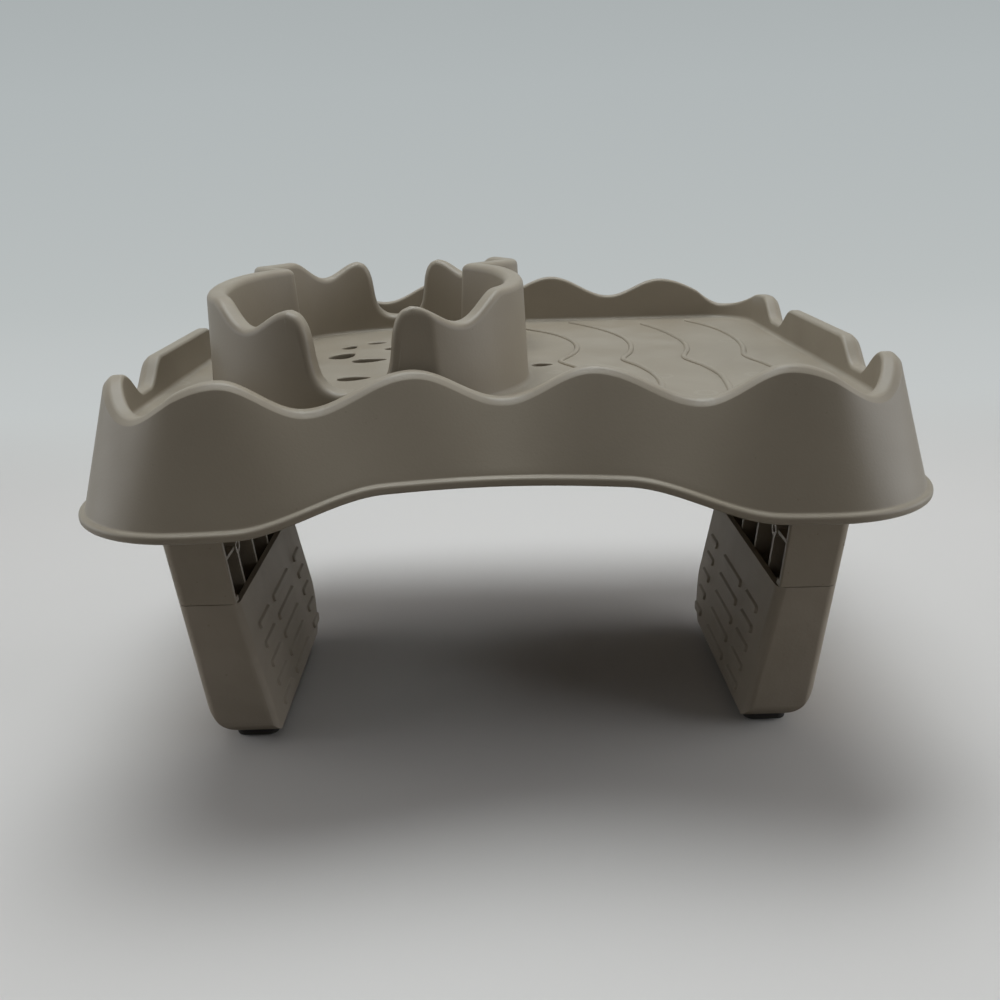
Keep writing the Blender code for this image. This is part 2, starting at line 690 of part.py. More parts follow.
def build_post(side, name):
    body = plan_loft(name, side, POST_INNER, LEG_OUTER, SEAM_Z + SEAM_GAP, POST_TOP, 1.0)
    core_profile = side_profile(BOOT_WALL + CORE_CLEAR, BOOT_CAVITY_Z + CORE_LIFT,
                                SEAM_Z + POST_STEP + CORE_CLEAR)
    core = leaning_slab("core", side, core_profile, *cavity_faces(CORE_CLEAR))
    near_x, far_x = BOOT_INNER[0] - TOOL_MARGIN, LEG_OUTER[0] + TOOL_MARGIN
    far_y = LEG_HALF_DEPTH + TOOL_MARGIN
    trim = across_prism("trim", side, [(near_x, 0), (near_x, CORE_BOTTOM), (far_x, CORE_BOTTOM),
                                       (far_x, 0)], -far_y, far_y)
    combine(core, trim, "DIFFERENCE")
    combine(body, core, "UNION")
    inner_edge = LEG_HALF_DEPTH - POST_WALL
    core_edge = LEG_HALF_DEPTH - BOOT_WALL - CORE_CLEAR - POST_WALL
    core_out = cavity_faces(CORE_CLEAR + POST_WALL)[1]
    step_z = SEAM_Z + POST_STEP
    top_z = POST_TOP - POST_PLATE
    low_z = CORE_BOTTOM + POST_WALL
    upper = [(near_x, step_z), (lean(LEG_OUTER, step_z) - POST_WALL, step_z),
             (lean(LEG_OUTER, top_z) - POST_WALL, top_z), (near_x, top_z)]
    lower = [(near_x, low_z), (lean(core_out, low_z), low_z), (lean(core_out, step_z), step_z),
             (lean(core_out, step_z) - POST_WALL, step_z + POST_WALL), (near_x, step_z + POST_WALL)]
    ribs = [(k - 1.5) * RIB_PITCH for k in range(4)]
    edges = [-1.0] + ribs + [1.0]
    for outline, limit in ((upper, inner_edge), (lower, core_edge)):
        for k in range(5):
            y0 = -limit if k == 0 else edges[k] + RIB_THICK / 2
            y1 = limit if k == 4 else edges[k + 1] - RIB_THICK / 2
            combine(body, across_prism("bay", side, outline, y0, y1), "DIFFERENCE")
    core_in = cavity_faces(CORE_CLEAR)[0]
    recess = [(near_x, low_z), (lean(core_in, low_z) + RIB_RECESS, low_z),
              (lean(POST_INNER, SEAM_Z) + RIB_RECESS, SEAM_Z),
              (lean(POST_INNER, top_z) + RIB_RECESS, top_z), (near_x, top_z)]
    combine(body, across_prism("recess", side, recess, -core_edge, core_edge), "DIFFERENCE")
    for rib, wall in ((ribs[0], -1), (ribs[3], 1)):
        x0 = lean(POST_INNER, BOSS_Z) + RIB_RECESS - BOSS_PROUD
        x1 = lean(LEG_OUTER, BOSS_Z) - POST_WALL / 2
        y = rib + wall * BOSS_SHIFT
        boss = cylinder("boss", (side * x0, y, BOSS_Z), "x", BOSS_OUTER, side * (x1 - x0), 20)
        combine(body, boss, "UNION")
        low, high = BOSS_Z - WEB_THICK / 2, BOSS_Z + WEB_THICK / 2
        web = [(x0 + WEB_SETBACK, low), (x1, low), (x1, high), (x0 + WEB_SETBACK, high)]
        inside_boss = y + wall * (BOSS_OUTER + BOSS_BORE) / 4
        ys = sorted((wall * (LEG_HALF_DEPTH - POST_WALL / 2), inside_boss))
        combine(body, across_prism("web", side, web, *ys), "UNION")
        bore = cylinder("bore", (side * (x0 - BOSS_PROUD), y, BOSS_Z), "x", BOSS_BORE,
                        side * BOSS_DEPTH, 16)
        combine(body, bore, "DIFFERENCE")
    for y in SCREW_YS:
        hole = cylinder("hole", (side * SCREW_X, y, POST_TOP - 2 * POST_PLATE), "z",
                        SCREW_SHANK + 2 * FIT_GAP, 3 * POST_PLATE, 16)
        combine(body, hole, "DIFFERENCE")
    finish_part(body, name, leg_plastic())
    return body


def build_pad(side, name):
    outline = rounded_rectangle(PAD_X[0], PAD_X[1], PAD_Y[0], PAD_Y[1], [PAD_RADIUS] * 4)
    cut = PAD_CHAMFER
    inner = rounded_rectangle(PAD_X[0] + cut, PAD_X[1] - cut, PAD_Y[0] + cut, PAD_Y[1] - cut,
                              [PAD_RADIUS - cut] * 4)
    sections = [[(side * x, y, z) for x, y in points]
                for points, z in ((inner, 0.0), (outline, cut), (outline, PAD_THICK))]
    pad = prism(name, sections)
    finish_part(pad, name, pad_rubber())
    set_origin(pad, slide_point(side))
    return pad


def screw_profile():
    """Half section of a pan-head screw, tip to head, with z = 0 under the head."""
    reach = POST_PLATE + FIT_GAP + SCREW_REACH
    return [(0.0, reach), (SCREW_SHANK / 2 - SCREW_TIP, reach),
            (SCREW_SHANK / 2, reach - SCREW_TIP), (SCREW_SHANK / 2, 0.0), (SCREW_HEAD / 2, 0.0),
            (SCREW_HEAD / 2, SCREW_CROWN - SCREW_HEAD_HEIGHT),
            (SCREW_HEAD / 2 - SCREW_CROWN, -SCREW_HEAD_HEIGHT), (0.0, -SCREW_HEAD_HEIGHT)]


def build_screw(side, y, name):
    mesh = bpy.data.meshes.new(name)
    profile = [(x * MM, 0.0, z * MM) for x, z in screw_profile()]
    mesh.from_pydata(profile, [(i, i + 1) for i in range(len(profile) - 1)], [])
    screw = bpy.data.objects.new(name, mesh)
    collection(COLLECTION).objects.link(screw)
    mesh.materials.append(screw_steel())
    turn = screw.modifiers.new("turn", "SCREW")
    turn.steps = turn.render_steps = 12
    turn.use_merge_vertices = True
    turn.merge_threshold = 0.00001
    turn.use_smooth_shade = False
    screw.location = Vector((side * SCREW_X, y, POST_TOP - POST_PLATE - FIT_GAP)) * MM
    return screw


def build():
    clear_scene()
    build_tray()
    for side, word in ((-1, "left"), (1, "right")):
        build_post(side, "leg_post_" + word)
        build_boot(side, "grip_boot_" + word)
        build_pad(side, "foot_pad_" + word)
        for number, y in enumerate(SCREW_YS, start=1):
            build_screw(side, y, f"leg_screw_{word}_{number}")


build()
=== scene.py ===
import math

import bmesh
import bpy
from mathutils import Matrix, Vector


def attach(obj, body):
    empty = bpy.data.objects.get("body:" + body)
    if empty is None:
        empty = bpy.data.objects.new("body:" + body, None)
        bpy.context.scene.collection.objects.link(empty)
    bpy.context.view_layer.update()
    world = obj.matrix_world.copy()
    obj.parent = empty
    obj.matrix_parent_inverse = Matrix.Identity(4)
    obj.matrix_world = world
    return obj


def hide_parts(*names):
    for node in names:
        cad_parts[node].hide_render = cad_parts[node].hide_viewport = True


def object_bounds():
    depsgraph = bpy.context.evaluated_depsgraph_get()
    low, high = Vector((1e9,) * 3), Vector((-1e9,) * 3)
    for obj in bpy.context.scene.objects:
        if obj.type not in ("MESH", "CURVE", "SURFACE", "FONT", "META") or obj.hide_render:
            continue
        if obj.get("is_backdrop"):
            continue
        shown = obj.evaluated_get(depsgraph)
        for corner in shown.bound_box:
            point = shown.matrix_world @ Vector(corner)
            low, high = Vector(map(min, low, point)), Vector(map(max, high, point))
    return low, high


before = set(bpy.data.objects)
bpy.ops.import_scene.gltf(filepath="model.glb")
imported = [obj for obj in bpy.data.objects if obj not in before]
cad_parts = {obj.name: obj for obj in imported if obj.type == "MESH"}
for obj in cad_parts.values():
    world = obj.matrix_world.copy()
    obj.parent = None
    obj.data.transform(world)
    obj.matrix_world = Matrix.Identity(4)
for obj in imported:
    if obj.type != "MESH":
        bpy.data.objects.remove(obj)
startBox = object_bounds()
mm = 0.001                    # pieces are drawn in millimetres and stored in metres
scene = bpy.context.scene
scene.view_settings.view_transform = "Standard"

# camera, cove and lamps

camera = {
    "place": (-3.3, -512.5, 272.6),
    "pitch": 18.33,           # degrees down
    "yaw": 0.109,
    "roll": 1.735,
    "focal": 35.92,
}


def makeCamera():
    pitch, yaw, roll = (math.radians(camera[k]) for k in ("pitch", "yaw", "roll"))
    ahead = Vector((math.sin(yaw) * math.cos(pitch), math.cos(yaw) * math.cos(pitch), -math.sin(pitch)))
    level = Vector((math.cos(yaw), -math.sin(yaw), 0))
    upright = level.cross(ahead)
    right = level * math.cos(roll) - upright * math.sin(roll)
    up = level * math.sin(roll) + upright * math.cos(roll)
    turn = Matrix((right, up, -ahead)).transposed().to_4x4()
    data = bpy.data.cameras.new("trayCamera")
    data.sensor_width = 36
    data.lens = camera["focal"]
    data.clip_start, data.clip_end = 0.02, 30
    made = bpy.data.objects.new("trayCamera", data)
    made.matrix_world = Matrix.Translation(Vector(camera["place"]) * mm) @ turn
    scene.collection.objects.link(made)
    scene.camera = made


def addNode(tree, kind, sockets=None, **settings):
    # a socket value that is itself a socket gets linked
    made = tree.nodes.new(kind)
    for key, value in settings.items():
        setattr(made, key, value)
    for key, value in (sockets or {}).items():
        socket = made.inputs[key]
        if isinstance(value, bpy.types.NodeSocket):
            tree.links.new(value, socket)
        else:
            socket.default_value = value
    return made


def combine(tree, operation, *values):
    return addNode(tree, "ShaderNodeMath", dict(enumerate(values)), operation=operation).outputs[0]


def remap(tree, value, low, high, toLow=0.0, toHigh=1.0, curve="LINEAR"):
    sockets = {"Value": value, "From Min": low, "From Max": high, "To Min": toLow, "To Max": toHigh}
    return addNode(tree, "ShaderNodeMapRange", sockets, interpolation_type=curve).outputs["Result"]


def objectPlace(tree):
    return addNode(tree, "ShaderNodeTexCoord").outputs["Object"]


def noise(tree, place, size, detail, roughness=0.5, **more):
    sockets = {"Vector": place, "Scale": size, "Detail": detail, "Roughness": roughness, **more}
    return addNode(tree, "ShaderNodeTexNoise", sockets).outputs["Fac"]


def cells(tree, place, size, **settings):
    return addNode(tree, "ShaderNodeTexVoronoi", {"Vector": place, "Scale": size}, **settings)


def cameraShare(tree):
    # 1 where the camera, a reflection or something clear sees it, 0 where it only gives light
    rays = addNode(tree, "ShaderNodeLightPath").outputs
    seen = combine(tree, "MAXIMUM", rays["Is Camera Ray"], rays["Is Glossy Ray"])
    return combine(tree, "MAXIMUM", seen, rays["Is Transmission Ray"])


def rgb(red, green, blue):
    # screen colour 0-255 to the linear value that a shader takes
    def linear(c):
        c = c / 255
        return c / 12.92 if c <= 0.04045 else ((c + 0.055) / 1.055) ** 2.4
    return (linear(red), linear(green), linear(blue), 1)


def mixColour(tree, factor, under, over):
    return addNode(tree, "ShaderNodeMix", {"Factor": factor, 6: under, 7: over}, data_type="RGBA").outputs[2]


cove = {
    "halfWidth": 7.0,
    "front": -7.0,
    "back": 2.6,
    "bend": 1.1,              # radius between floor and wall
    "height": 3.4,
    "paper": (216, 213, 210), "roughness": 0.85, "gloss": 0.15,
    "cloudSize": 3.0, "clouds": (0.98, 1.02),    # slow unevenness of its tone
    "bounce": (122, 115, 106),    # the paper as it lights the tray from below
    "tones": [                # what the camera sees further back, a painted glow that darkens as the light falls off: distance along floor and wall, colour
        (0.35, (203, 207, 206)), (0.75, (194, 198, 198)), (1.7, (186, 191, 191)),
        (2.9, (177, 183, 184)), (3.4, (169, 175, 176)),
    ],
    "blend": (0.25, 0.75),    # lit paper gives way to those colours between these depths
    "round": (1.2, 2.6),      # and between these distances on the other sides
    "roundShare": 0.75,       # any distance from the middle counts as at least this share of it
    "bendSteps": 24,
}


def makeCove():
    bend, steps = cove["bend"], cove["bendSteps"]
    line = [(cove["front"], 0.0)]
    for k in range(steps + 1):
        a = math.radians(90 * k / steps)
        line.append((cove["back"] - bend + bend * math.sin(a), bend * (1 - math.cos(a))))
    line.append((cove["back"], cove["height"]))
    bm = bmesh.new()
    rows = [[bm.verts.new((x, y, z)) for x in (-cove["halfWidth"], cove["halfWidth"])] for y, z in line]
    for low, high in zip(rows, rows[1:]):
        bm.faces.new((low[0], low[1], high[1], high[0]))
    mesh = bpy.data.meshes.new("studioCove")
    bm.to_mesh(mesh)
    bm.free()
    mesh.shade_smooth()
    mesh.materials.append(covePaper())
    made = bpy.data.objects.new("studioCove", mesh)
    scene.collection.objects.link(made)
    made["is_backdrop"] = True


def covePaper():
    paper = bpy.data.materials.new("covePaper")
    paper.use_nodes = True
    tree = paper.node_tree
    shader = tree.nodes["Principled BSDF"]
    shader.inputs["Roughness"].default_value = cove["roughness"]
    shader.inputs["Specular IOR Level"].default_value = cove["gloss"]
    place = objectPlace(tree)
    soft = remap(tree, noise(tree, place, cove["cloudSize"], 3.0), 0.0, 1.0, *cove["clouds"])
    seen = cameraShare(tree)
    tone = mixColour(tree, seen, rgb(*cove["bounce"]), rgb(*cove["paper"]))
    shade = addNode(tree, "ShaderNodeVectorMath", {0: tone}, operation="SCALE")
    tree.links.new(soft, shade.inputs["Scale"])
    tree.links.new(shade.outputs["Vector"], shader.inputs["Base Color"])
    # further off the camera sees set tones that no lamp changes: painted light, a glow darker further back
    # and up
    parts = addNode(tree, "ShaderNodeSeparateXYZ", {"Vector": place}).outputs
    away = addNode(tree, "ShaderNodeVectorMath", {0: place}, operation="LENGTH").outputs["Value"]
    along = combine(tree, "ADD", parts["Y"], parts["Z"])
    along = combine(tree, "MAXIMUM", along, combine(tree, "MULTIPLY", away, cove["roundShare"]))
    reach = cove["tones"][-1][0]
    ramp = addNode(tree, "ShaderNodeValToRGB", {"Fac": combine(tree, "DIVIDE", along, reach)})
    stops = ramp.color_ramp.elements
    while len(stops) < len(cove["tones"]):
        stops.new(0.5)
    for stop, (distance, colour) in zip(stops, cove["tones"]):
        stop.position, stop.color = distance / reach, rgb(*colour)
    glow = addNode(tree, "ShaderNodeEmission", {"Color": ramp.outputs["Color"], "Strength": 1.0})
    far = remap(tree, parts["Y"], *cove["blend"], curve="SMOOTHSTEP")
    around = remap(tree, away, *cove["round"], curve="SMOOTHSTEP")
    share = combine(tree, "MULTIPLY", combine(tree, "MAXIMUM", far, around), seen)
    lit = addNode(tree, "ShaderNodeMixShader", {0: share, 1: shader.outputs[0], 2: glow.outputs[0]})
    # seen from below the paper is clear, so that the underside of the tray shows
    back = addNode(tree, "ShaderNodeNewGeometry").outputs["Backfacing"]
    camera = addNode(tree, "ShaderNodeLightPath").outputs["Is Camera Ray"]
    clear = addNode(tree, "ShaderNodeBsdfTransparent")
    sockets = {0: combine(tree, "MULTIPLY", back, camera), 1: lit.outputs[0], 2: clear.outputs[0]}
    both = addNode(tree, "ShaderNodeMixShader", sockets)
    tree.links.new(both.outputs[0], tree.nodes["Material Output"].inputs["Surface"])
    return paper


lamps = {
    "overhead": {
        "place": (-0.05, 0.14, 1.40), "aim": (0, 0.08, 0.1), "size": (1.25, 0.75),
        "power": 12.8, "tint": (0.89, 0.95, 0.98),
    },
    "leftWall": {
        "place": (-1.7, 0.0, 0.48), "aim": (0, 0, 0.1), "size": (1.6, 0.9),
        "power": 5.8, "tint": (0.94, 0.97, 1.0),
    },
    "rightWall": {
        "place": (1.6, -0.2, 0.48), "aim": (0, 0, 0.1), "size": (1.6, 0.9),
        "power": 9.2, "tint": (0.94, 0.97, 1.0),
    },
}
room = {                      # light from all round, by how far it looks to the back
    "ahead": 0.85, "behind": 0.08, "from": -0.6, "to": 0.8, "tint": (1.0, 0.99, 0.98),
}


def makeLamps():
    for name, lamp in lamps.items():
        data = bpy.data.lights.new(name + "Lamp", "AREA")
        data.shape = "ELLIPSE"
        data.size, data.size_y = lamp["size"]
        data.energy = lamp["power"]
        data.color = lamp["tint"]
        made = bpy.data.objects.new(name + "Lamp", data)
        made.location = lamp["place"]
        ray = Vector(lamp["aim"]) - Vector(lamp["place"])
        made.rotation_euler = ray.to_track_quat("-Z", "Y").to_euler()
        scene.collection.objects.link(made)


def makeRoom():
    world = bpy.data.worlds.new("studioRoom")
    world.use_nodes = True
    tree = world.node_tree
    way = addNode(tree, "ShaderNodeTexCoord").outputs["Generated"]
    depth = addNode(tree, "ShaderNodeSeparateXYZ", {"Vector": way}).outputs["Y"]
    level = remap(tree, depth, room["from"], room["to"], room["behind"], room["ahead"], "SMOOTHSTEP")
    light = tree.nodes["Background"]
    light.inputs["Color"].default_value = (*room["tint"], 1)
    tree.links.new(level, light.inputs["Strength"])
    # the camera sees the cove's last painted tone past its edges
    shown = addNode(tree, "ShaderNodeBackground", {"Color": rgb(*cove["tones"][-1][1]), "Strength": 1.0})
    camera = addNode(tree, "ShaderNodeLightPath").outputs["Is Camera Ray"]
    both = addNode(tree, "ShaderNodeMixShader", {0: camera, 1: light.outputs[0], 2: shown.outputs[0]})
    tree.links.new(both.outputs[0], tree.nodes["World Output"].inputs["Surface"])
    scene.world = world


makeCamera()
makeCove()
makeLamps()
makeRoom()
print("camera, cove and lamps ready")

# shader groups shared by the finishes


def newGroup(name, inputs, outputs):
    tree = bpy.data.node_groups.new(name, "ShaderNodeTree")
    for label, value in inputs.items():
        socket = tree.interface.new_socket(label, in_out="INPUT", socket_type="NodeSocketFloat")
        socket.default_value = value
    for label in outputs:
        tree.interface.new_socket(label, in_out="OUTPUT", socket_type="NodeSocketFloat")
    return tree, tree.nodes.new("NodeGroupInput").outputs, tree.nodes.new("NodeGroupOutput").inputs


grainLook = {                 # sizes as repeats in a metre
    "fine": 1500.0, "pits": 900.0, "cloud": 16.0, "cloudRange": (0.3, 0.7),
    "specks": 260.0, "speckRange": (0.13, 0.05), "speckPick": 0.86,
}
# lighter edges: partly wear, partly a painted highlight
wearHighlightLook = {"patches": 70.0, "patchRange": (0.38, 0.62), "edgeRange": (0.998, 0.9)}
dustLook = {
    "facing": (0.45, 0.95), "clouds": 34.0, "cloudRange": (0.42, 0.72),
    "splashes": 55.0, "ring": (0.24, 0.05), "splashPick": 0.8,
}


def pickCells(tree, found, channel, least):
    # the few cells whose random colour is over least
    parts = addNode(tree, "ShaderNodeSeparateColor", {"Color": found["Color"]}).outputs
    return combine(tree, "GREATER_THAN", parts[channel], least)


def mouldedGrain():
    # fine spark texture of the mould, slow colour drift and a few pigment specks
    inputs = {"Grain Size": 1.0, "Drift Size": 1.0}
    tree, given, out = newGroup("mouldedGrain", inputs, ["Height", "Drift", "Specks"])
    place = objectPlace(tree)
    grain, sizes = given["Grain Size"], [grainLook[key] for key in ("fine", "pits", "specks")]
    fine, pits, spots = (combine(tree, "DIVIDE", size, grain) for size in sizes)
    dimples = cells(tree, place, pits, feature="SMOOTH_F1").outputs["Distance"]
    height = combine(tree, "ADD", noise(tree, place, fine, 3.0, 0.6), dimples)
    cloud = combine(tree, "DIVIDE", grainLook["cloud"], given["Drift Size"])
    drift = remap(tree, noise(tree, place, cloud, 4.0, 0.55, Distortion=0.6), *grainLook["cloudRange"])
    specks = cells(tree, place, spots).outputs
    small = remap(tree, specks["Distance"], *grainLook["speckRange"])
    few = pickCells(tree, specks, 0, grainLook["speckPick"])
    tree.links.new(height, out["Height"])
    tree.links.new(drift, out["Drift"])
    tree.links.new(combine(tree, "MULTIPLY", small, few), out["Specks"])
    return tree


def edgeWear():
    # rubbed edges with a painted highlight along them, broken up by noise so that no line is even
    tree, given, out = newGroup("edgeWear", {"Width": 0.0008, "Patchiness": 1.0}, ["Mask"])
    soft = addNode(tree, "ShaderNodeBevel", {"Radius": given["Width"]}, samples=4).outputs["Normal"]
    real = addNode(tree, "ShaderNodeNewGeometry").outputs["Normal"]
    same = addNode(tree, "ShaderNodeVectorMath", {0: soft, 1: real}, operation="DOT_PRODUCT").outputs["Value"]
    size = combine(tree, "DIVIDE", wearHighlightLook["patches"], given["Patchiness"])
    patch = remap(tree, noise(tree, objectPlace(tree), size, 5.0, 0.65), *wearHighlightLook["patchRange"])
    wornHighlight = combine(tree, "MULTIPLY", remap(tree, same, *wearHighlightLook["edgeRange"]), patch)
    tree.links.new(wornHighlight, out["Mask"])
    return tree


def settledDust():
    # thin dust and dried splashes on what faces up
    tree, given, out = newGroup("settledDust", {"Splash Size": 1.0}, ["Dust", "Splashes"])
    real = addNode(tree, "ShaderNodeNewGeometry").outputs["Normal"]
    upward = addNode(tree, "ShaderNodeSeparateXYZ", {"Vector": real}).outputs["Z"]
    facing = remap(tree, upward, *dustLook["facing"])
    place = objectPlace(tree)
    dust = remap(tree, noise(tree, place, dustLook["clouds"], 6.0, 0.6), *dustLook["cloudRange"])
    size = combine(tree, "DIVIDE", dustLook["splashes"], given["Splash Size"])
    drops = cells(tree, place, size).outputs
    ring = combine(tree, "COMPARE", drops["Distance"], *dustLook["ring"])
    seen = combine(tree, "MULTIPLY", ring, pickCells(tree, drops, 1, dustLook["splashPick"]))
    tree.links.new(combine(tree, "MULTIPLY", facing, dust), out["Dust"])
    tree.links.new(combine(tree, "MULTIPLY", seen, facing), out["Splashes"])
    return tree


grainTree, wearHighlightTree, dustTree = mouldedGrain(), edgeWear(), settledDust()


def placeGroup(tree, group, values):
    made = tree.nodes.new("ShaderNodeGroup")
    made.node_tree = group
    for key, value in values.items():
        made.inputs[key].default_value = value
    return made.outputs


def grainBump(tree, grain, strength, depth):
    sockets = {"Height": grain["Height"], "Strength": strength, "Distance": depth}
    return addNode(tree, "ShaderNodeBump", sockets).outputs["Normal"]


mould = {"grainDepth": 0.00008, "dustDulls": 0.10, "wearShines": 0.10, "ior": 1.49}


def mouldedPlastic(name, look):
    made = bpy.data.materials.new(name)
    made.use_nodes = True
    tree = made.node_tree
    shader = tree.nodes["Principled BSDF"]
    grain = placeGroup(tree, grainTree, {"Grain Size": look["grain"], "Drift Size": look["drift"]})
    wearHighlight = placeGroup(tree, wearHighlightTree, {"Width": look["wearHighlightWidth"], "Patchiness": look["patch"]})
    dust = placeGroup(tree, dustTree, {"Splash Size": look["splash"]})
    colour = mixColour(tree, grain["Drift"], rgb(*look["colour"]), rgb(*look["deep"]))
    layers = [
        (grain["Specks"], look["specks"], look["speckColour"]),
        (dust["Dust"], look["dust"], look["dustColour"]),
        (dust["Splashes"], look["splashes"], look["dustColour"]),
        # edges lightened: partly wear, partly a painted highlight
        (wearHighlight["Mask"], look["wearHighlight"], look["wornHighlight"]),
    ]
    for mask, share, over in layers:
        colour = mixColour(tree, combine(tree, "MULTIPLY", mask, share), colour, rgb(*over))
    tree.links.new(colour, shader.inputs["Base Color"])
    # dust dulls the surface, rubbed edges shine a little
    rough = remap(tree, grain["Drift"], 0.0, 1.0, *look["rough"])
    rough = combine(tree, "ADD", combine(tree, "MULTIPLY", dust["Dust"], mould["dustDulls"]), rough)
    rough = combine(tree, "SUBTRACT", rough, combine(tree, "MULTIPLY", wearHighlight["Mask"], mould["wearShines"]))
    tree.links.new(rough, shader.inputs["Roughness"])
    tree.links.new(grainBump(tree, grain, look["bump"], mould["grainDepth"]), shader.inputs["Normal"])
    shader.inputs["IOR"].default_value = mould["ior"]
    return made


# wornHighlight over wearHighlight lightens the edges: partly wear, partly a painted highlight
finishes = {
    "tray": {
        "colour": (151, 141, 125), "deep": (145, 135, 119), "wornHighlight": (177, 168, 152), "wearHighlight": 0.45,
        "wearHighlightWidth": 0.0009, "patch": 1.0, "grain": 1.0, "drift": 1.0,
        "specks": 0.35, "speckColour": (122, 110, 94), "dust": 0.16, "dustColour": (190, 187, 178),
        "splash": 1.0, "splashes": 0.10, "rough": (0.42, 0.5), "bump": 0.35,
    },
    "post": {
        "colour": (164, 153, 137), "deep": (155, 144, 127), "wornHighlight": (172, 161, 145), "wearHighlight": 0.15,
        "wearHighlightWidth": 0.0007, "patch": 0.8, "grain": 1.1, "drift": 0.8,
        "specks": 0.4, "speckColour": (116, 104, 88), "dust": 0.12, "dustColour": (186, 182, 172),
        "splash": 0.8, "splashes": 0.06, "rough": (0.46, 0.56), "bump": 0.45,
    },
    # the boot's colours are set lighter than the tray's: painted light that makes up for the shade the boots
    # stand in
    "boot": {
        "colour": (174, 163, 148), "deep": (164, 153, 137), "wornHighlight": (196, 186, 171), "wearHighlight": 0.5,
        "wearHighlightWidth": 0.0008, "patch": 0.9, "grain": 1.4, "drift": 0.7,
        "specks": 0.3, "speckColour": (112, 100, 84), "dust": 0.15, "dustColour": (184, 179, 168),
        "splash": 0.9, "splashes": 0.08, "rough": (0.55, 0.66), "bump": 0.6,
    },
    "pad": {
        "colour": (52, 49, 45), "deep": (40, 38, 35), "wornHighlight": (92, 88, 82), "wearHighlight": 0.6,
        "wearHighlightWidth": 0.0007, "patch": 0.7, "grain": 1.8, "drift": 0.5,
        "specks": 0.6, "speckColour": (96, 92, 86), "dust": 0.3, "dustColour": (120, 116, 108),
        "splash": 0.7, "splashes": 0.1, "rough": (0.72, 0.88), "bump": 0.9,
    },
}
trayPlastic = mouldedPlastic("trayPlastic", finishes["tray"])
postPlastic = mouldedPlastic("postPlastic", finishes["post"])
bootPlastic = mouldedPlastic("bootPlastic", finishes["boot"])
padRubber = mouldedPlastic("padRubber", finishes["pad"])


# wornHighlight lightens the edges: partly wear, partly a painted highlight
steel = {
    "colour": (186, 187, 184), "deep": (158, 159, 155), "wornHighlight": (214, 214, 212), "rough": (0.28, 0.42),
    "wearHighlightWidth": 0.0003, "patch": 0.2, "grain": 0.6, "drift": 0.12, "bump": 0.2, "grainDepth": 0.00004,
}


def zincSteel():
    made = bpy.data.materials.new("zincSteel")
    made.use_nodes = True
    tree = made.node_tree
    shader = tree.nodes["Principled BSDF"]
    wearHighlight = placeGroup(tree, wearHighlightTree, {"Width": steel["wearHighlightWidth"], "Patchiness": steel["patch"]})
    grain = placeGroup(tree, grainTree, {"Grain Size": steel["grain"], "Drift Size": steel["drift"]})
    colour = mixColour(tree, grain["Drift"], rgb(*steel["colour"]), rgb(*steel["deep"]))
    # edges lightened: partly wear, partly a painted highlight
    colour = mixColour(tree, wearHighlight["Mask"], colour, rgb(*steel["wornHighlight"]))
    tree.links.new(colour, shader.inputs["Base Color"])
    tree.links.new(remap(tree, grain["Drift"], 0.0, 1.0, *steel["rough"]), shader.inputs["Roughness"])
    shader.inputs["Metallic"].default_value = 1.0
    tree.links.new(grainBump(tree, grain, steel["bump"], steel["grainDepth"]), shader.inputs["Normal"])
    return made


screwSteel = zincSteel()
print("finishes ready")

# mesh helpers


def meshPiece(name, bm, material=None, merge=0.004):
    # millimetre bmesh to a piece in metres, faces outwards
    bmesh.ops.remove_doubles(bm, verts=bm.verts, dist=merge)
    bmesh.ops.recalc_face_normals(bm, faces=bm.faces)
    bmesh.ops.scale(bm, vec=(mm, mm, mm), verts=bm.verts)
    mesh = bpy.data.meshes.new(name)
    bm.to_mesh(mesh)
    bm.free()
    if material:
        mesh.materials.append(material)
    made = bpy.data.objects.new(name, mesh)
    scene.collection.objects.link(made)
    return made


def bakeModifiers(piece):
    depsgraph = bpy.context.evaluated_depsgraph_get()
    mesh = bpy.data.meshes.new_from_object(piece.evaluated_get(depsgraph))
    piece.modifiers.clear()
    old, piece.data = piece.data, mesh
    bpy.data.meshes.remove(old)
    mesh.name = piece.name


def carve(piece, tool, operation="DIFFERENCE"):
    # the tool is used up
    step = piece.modifiers.new("carve", "BOOLEAN")
    step.operation = operation
    step.solver = "EXACT"
    step.object = tool
    bakeModifiers(piece)
    bpy.data.objects.remove(tool, do_unlink=True)


def smoothShade(piece, angle):
    piece.data.shade_smooth()
    piece.data.set_sharp_from_angle(angle=math.radians(angle))
    even = piece.modifiers.new("evenShading", "WEIGHTED_NORMAL")
    even.keep_sharp = True
    even.weight = 60
    bakeModifiers(piece)


def soften(piece, width, segments, angle):
    # rounded edges and clean shading on a carved piece
    edge = piece.modifiers.new("edge", "BEVEL")
    edge.width = width * mm
    edge.segments = segments
    edge.limit_method = "ANGLE"
    edge.angle_limit = math.radians(angle)
    edge.miter_outer = "MITER_ARC"
    bakeModifiers(piece)
    smoothShade(piece, 40)


def vertRow(bm, points):
    return [bm.verts.new(p) for p in points]


def ringFaces(bm, rows):
    # faces between each ring of vertices and the next
    for low, high in zip(rows, rows[1:]):
        for i in range(len(low)):
            j = (i + 1) % len(low)
            bm.faces.new((low[i], low[j], high[j], high[i]))


def closedFaces(bm, sections):
    # a solid through the sections, closed at both ends
    rows = [vertRow(bm, s) for s in sections]
    ringFaces(bm, rows)
    bm.faces.new(rows[0])
    bm.faces.new(rows[-1])


def loft(name, sections, material=None):
    bm = bmesh.new()
    closedFaces(bm, sections)
    return meshPiece(name, bm, material)


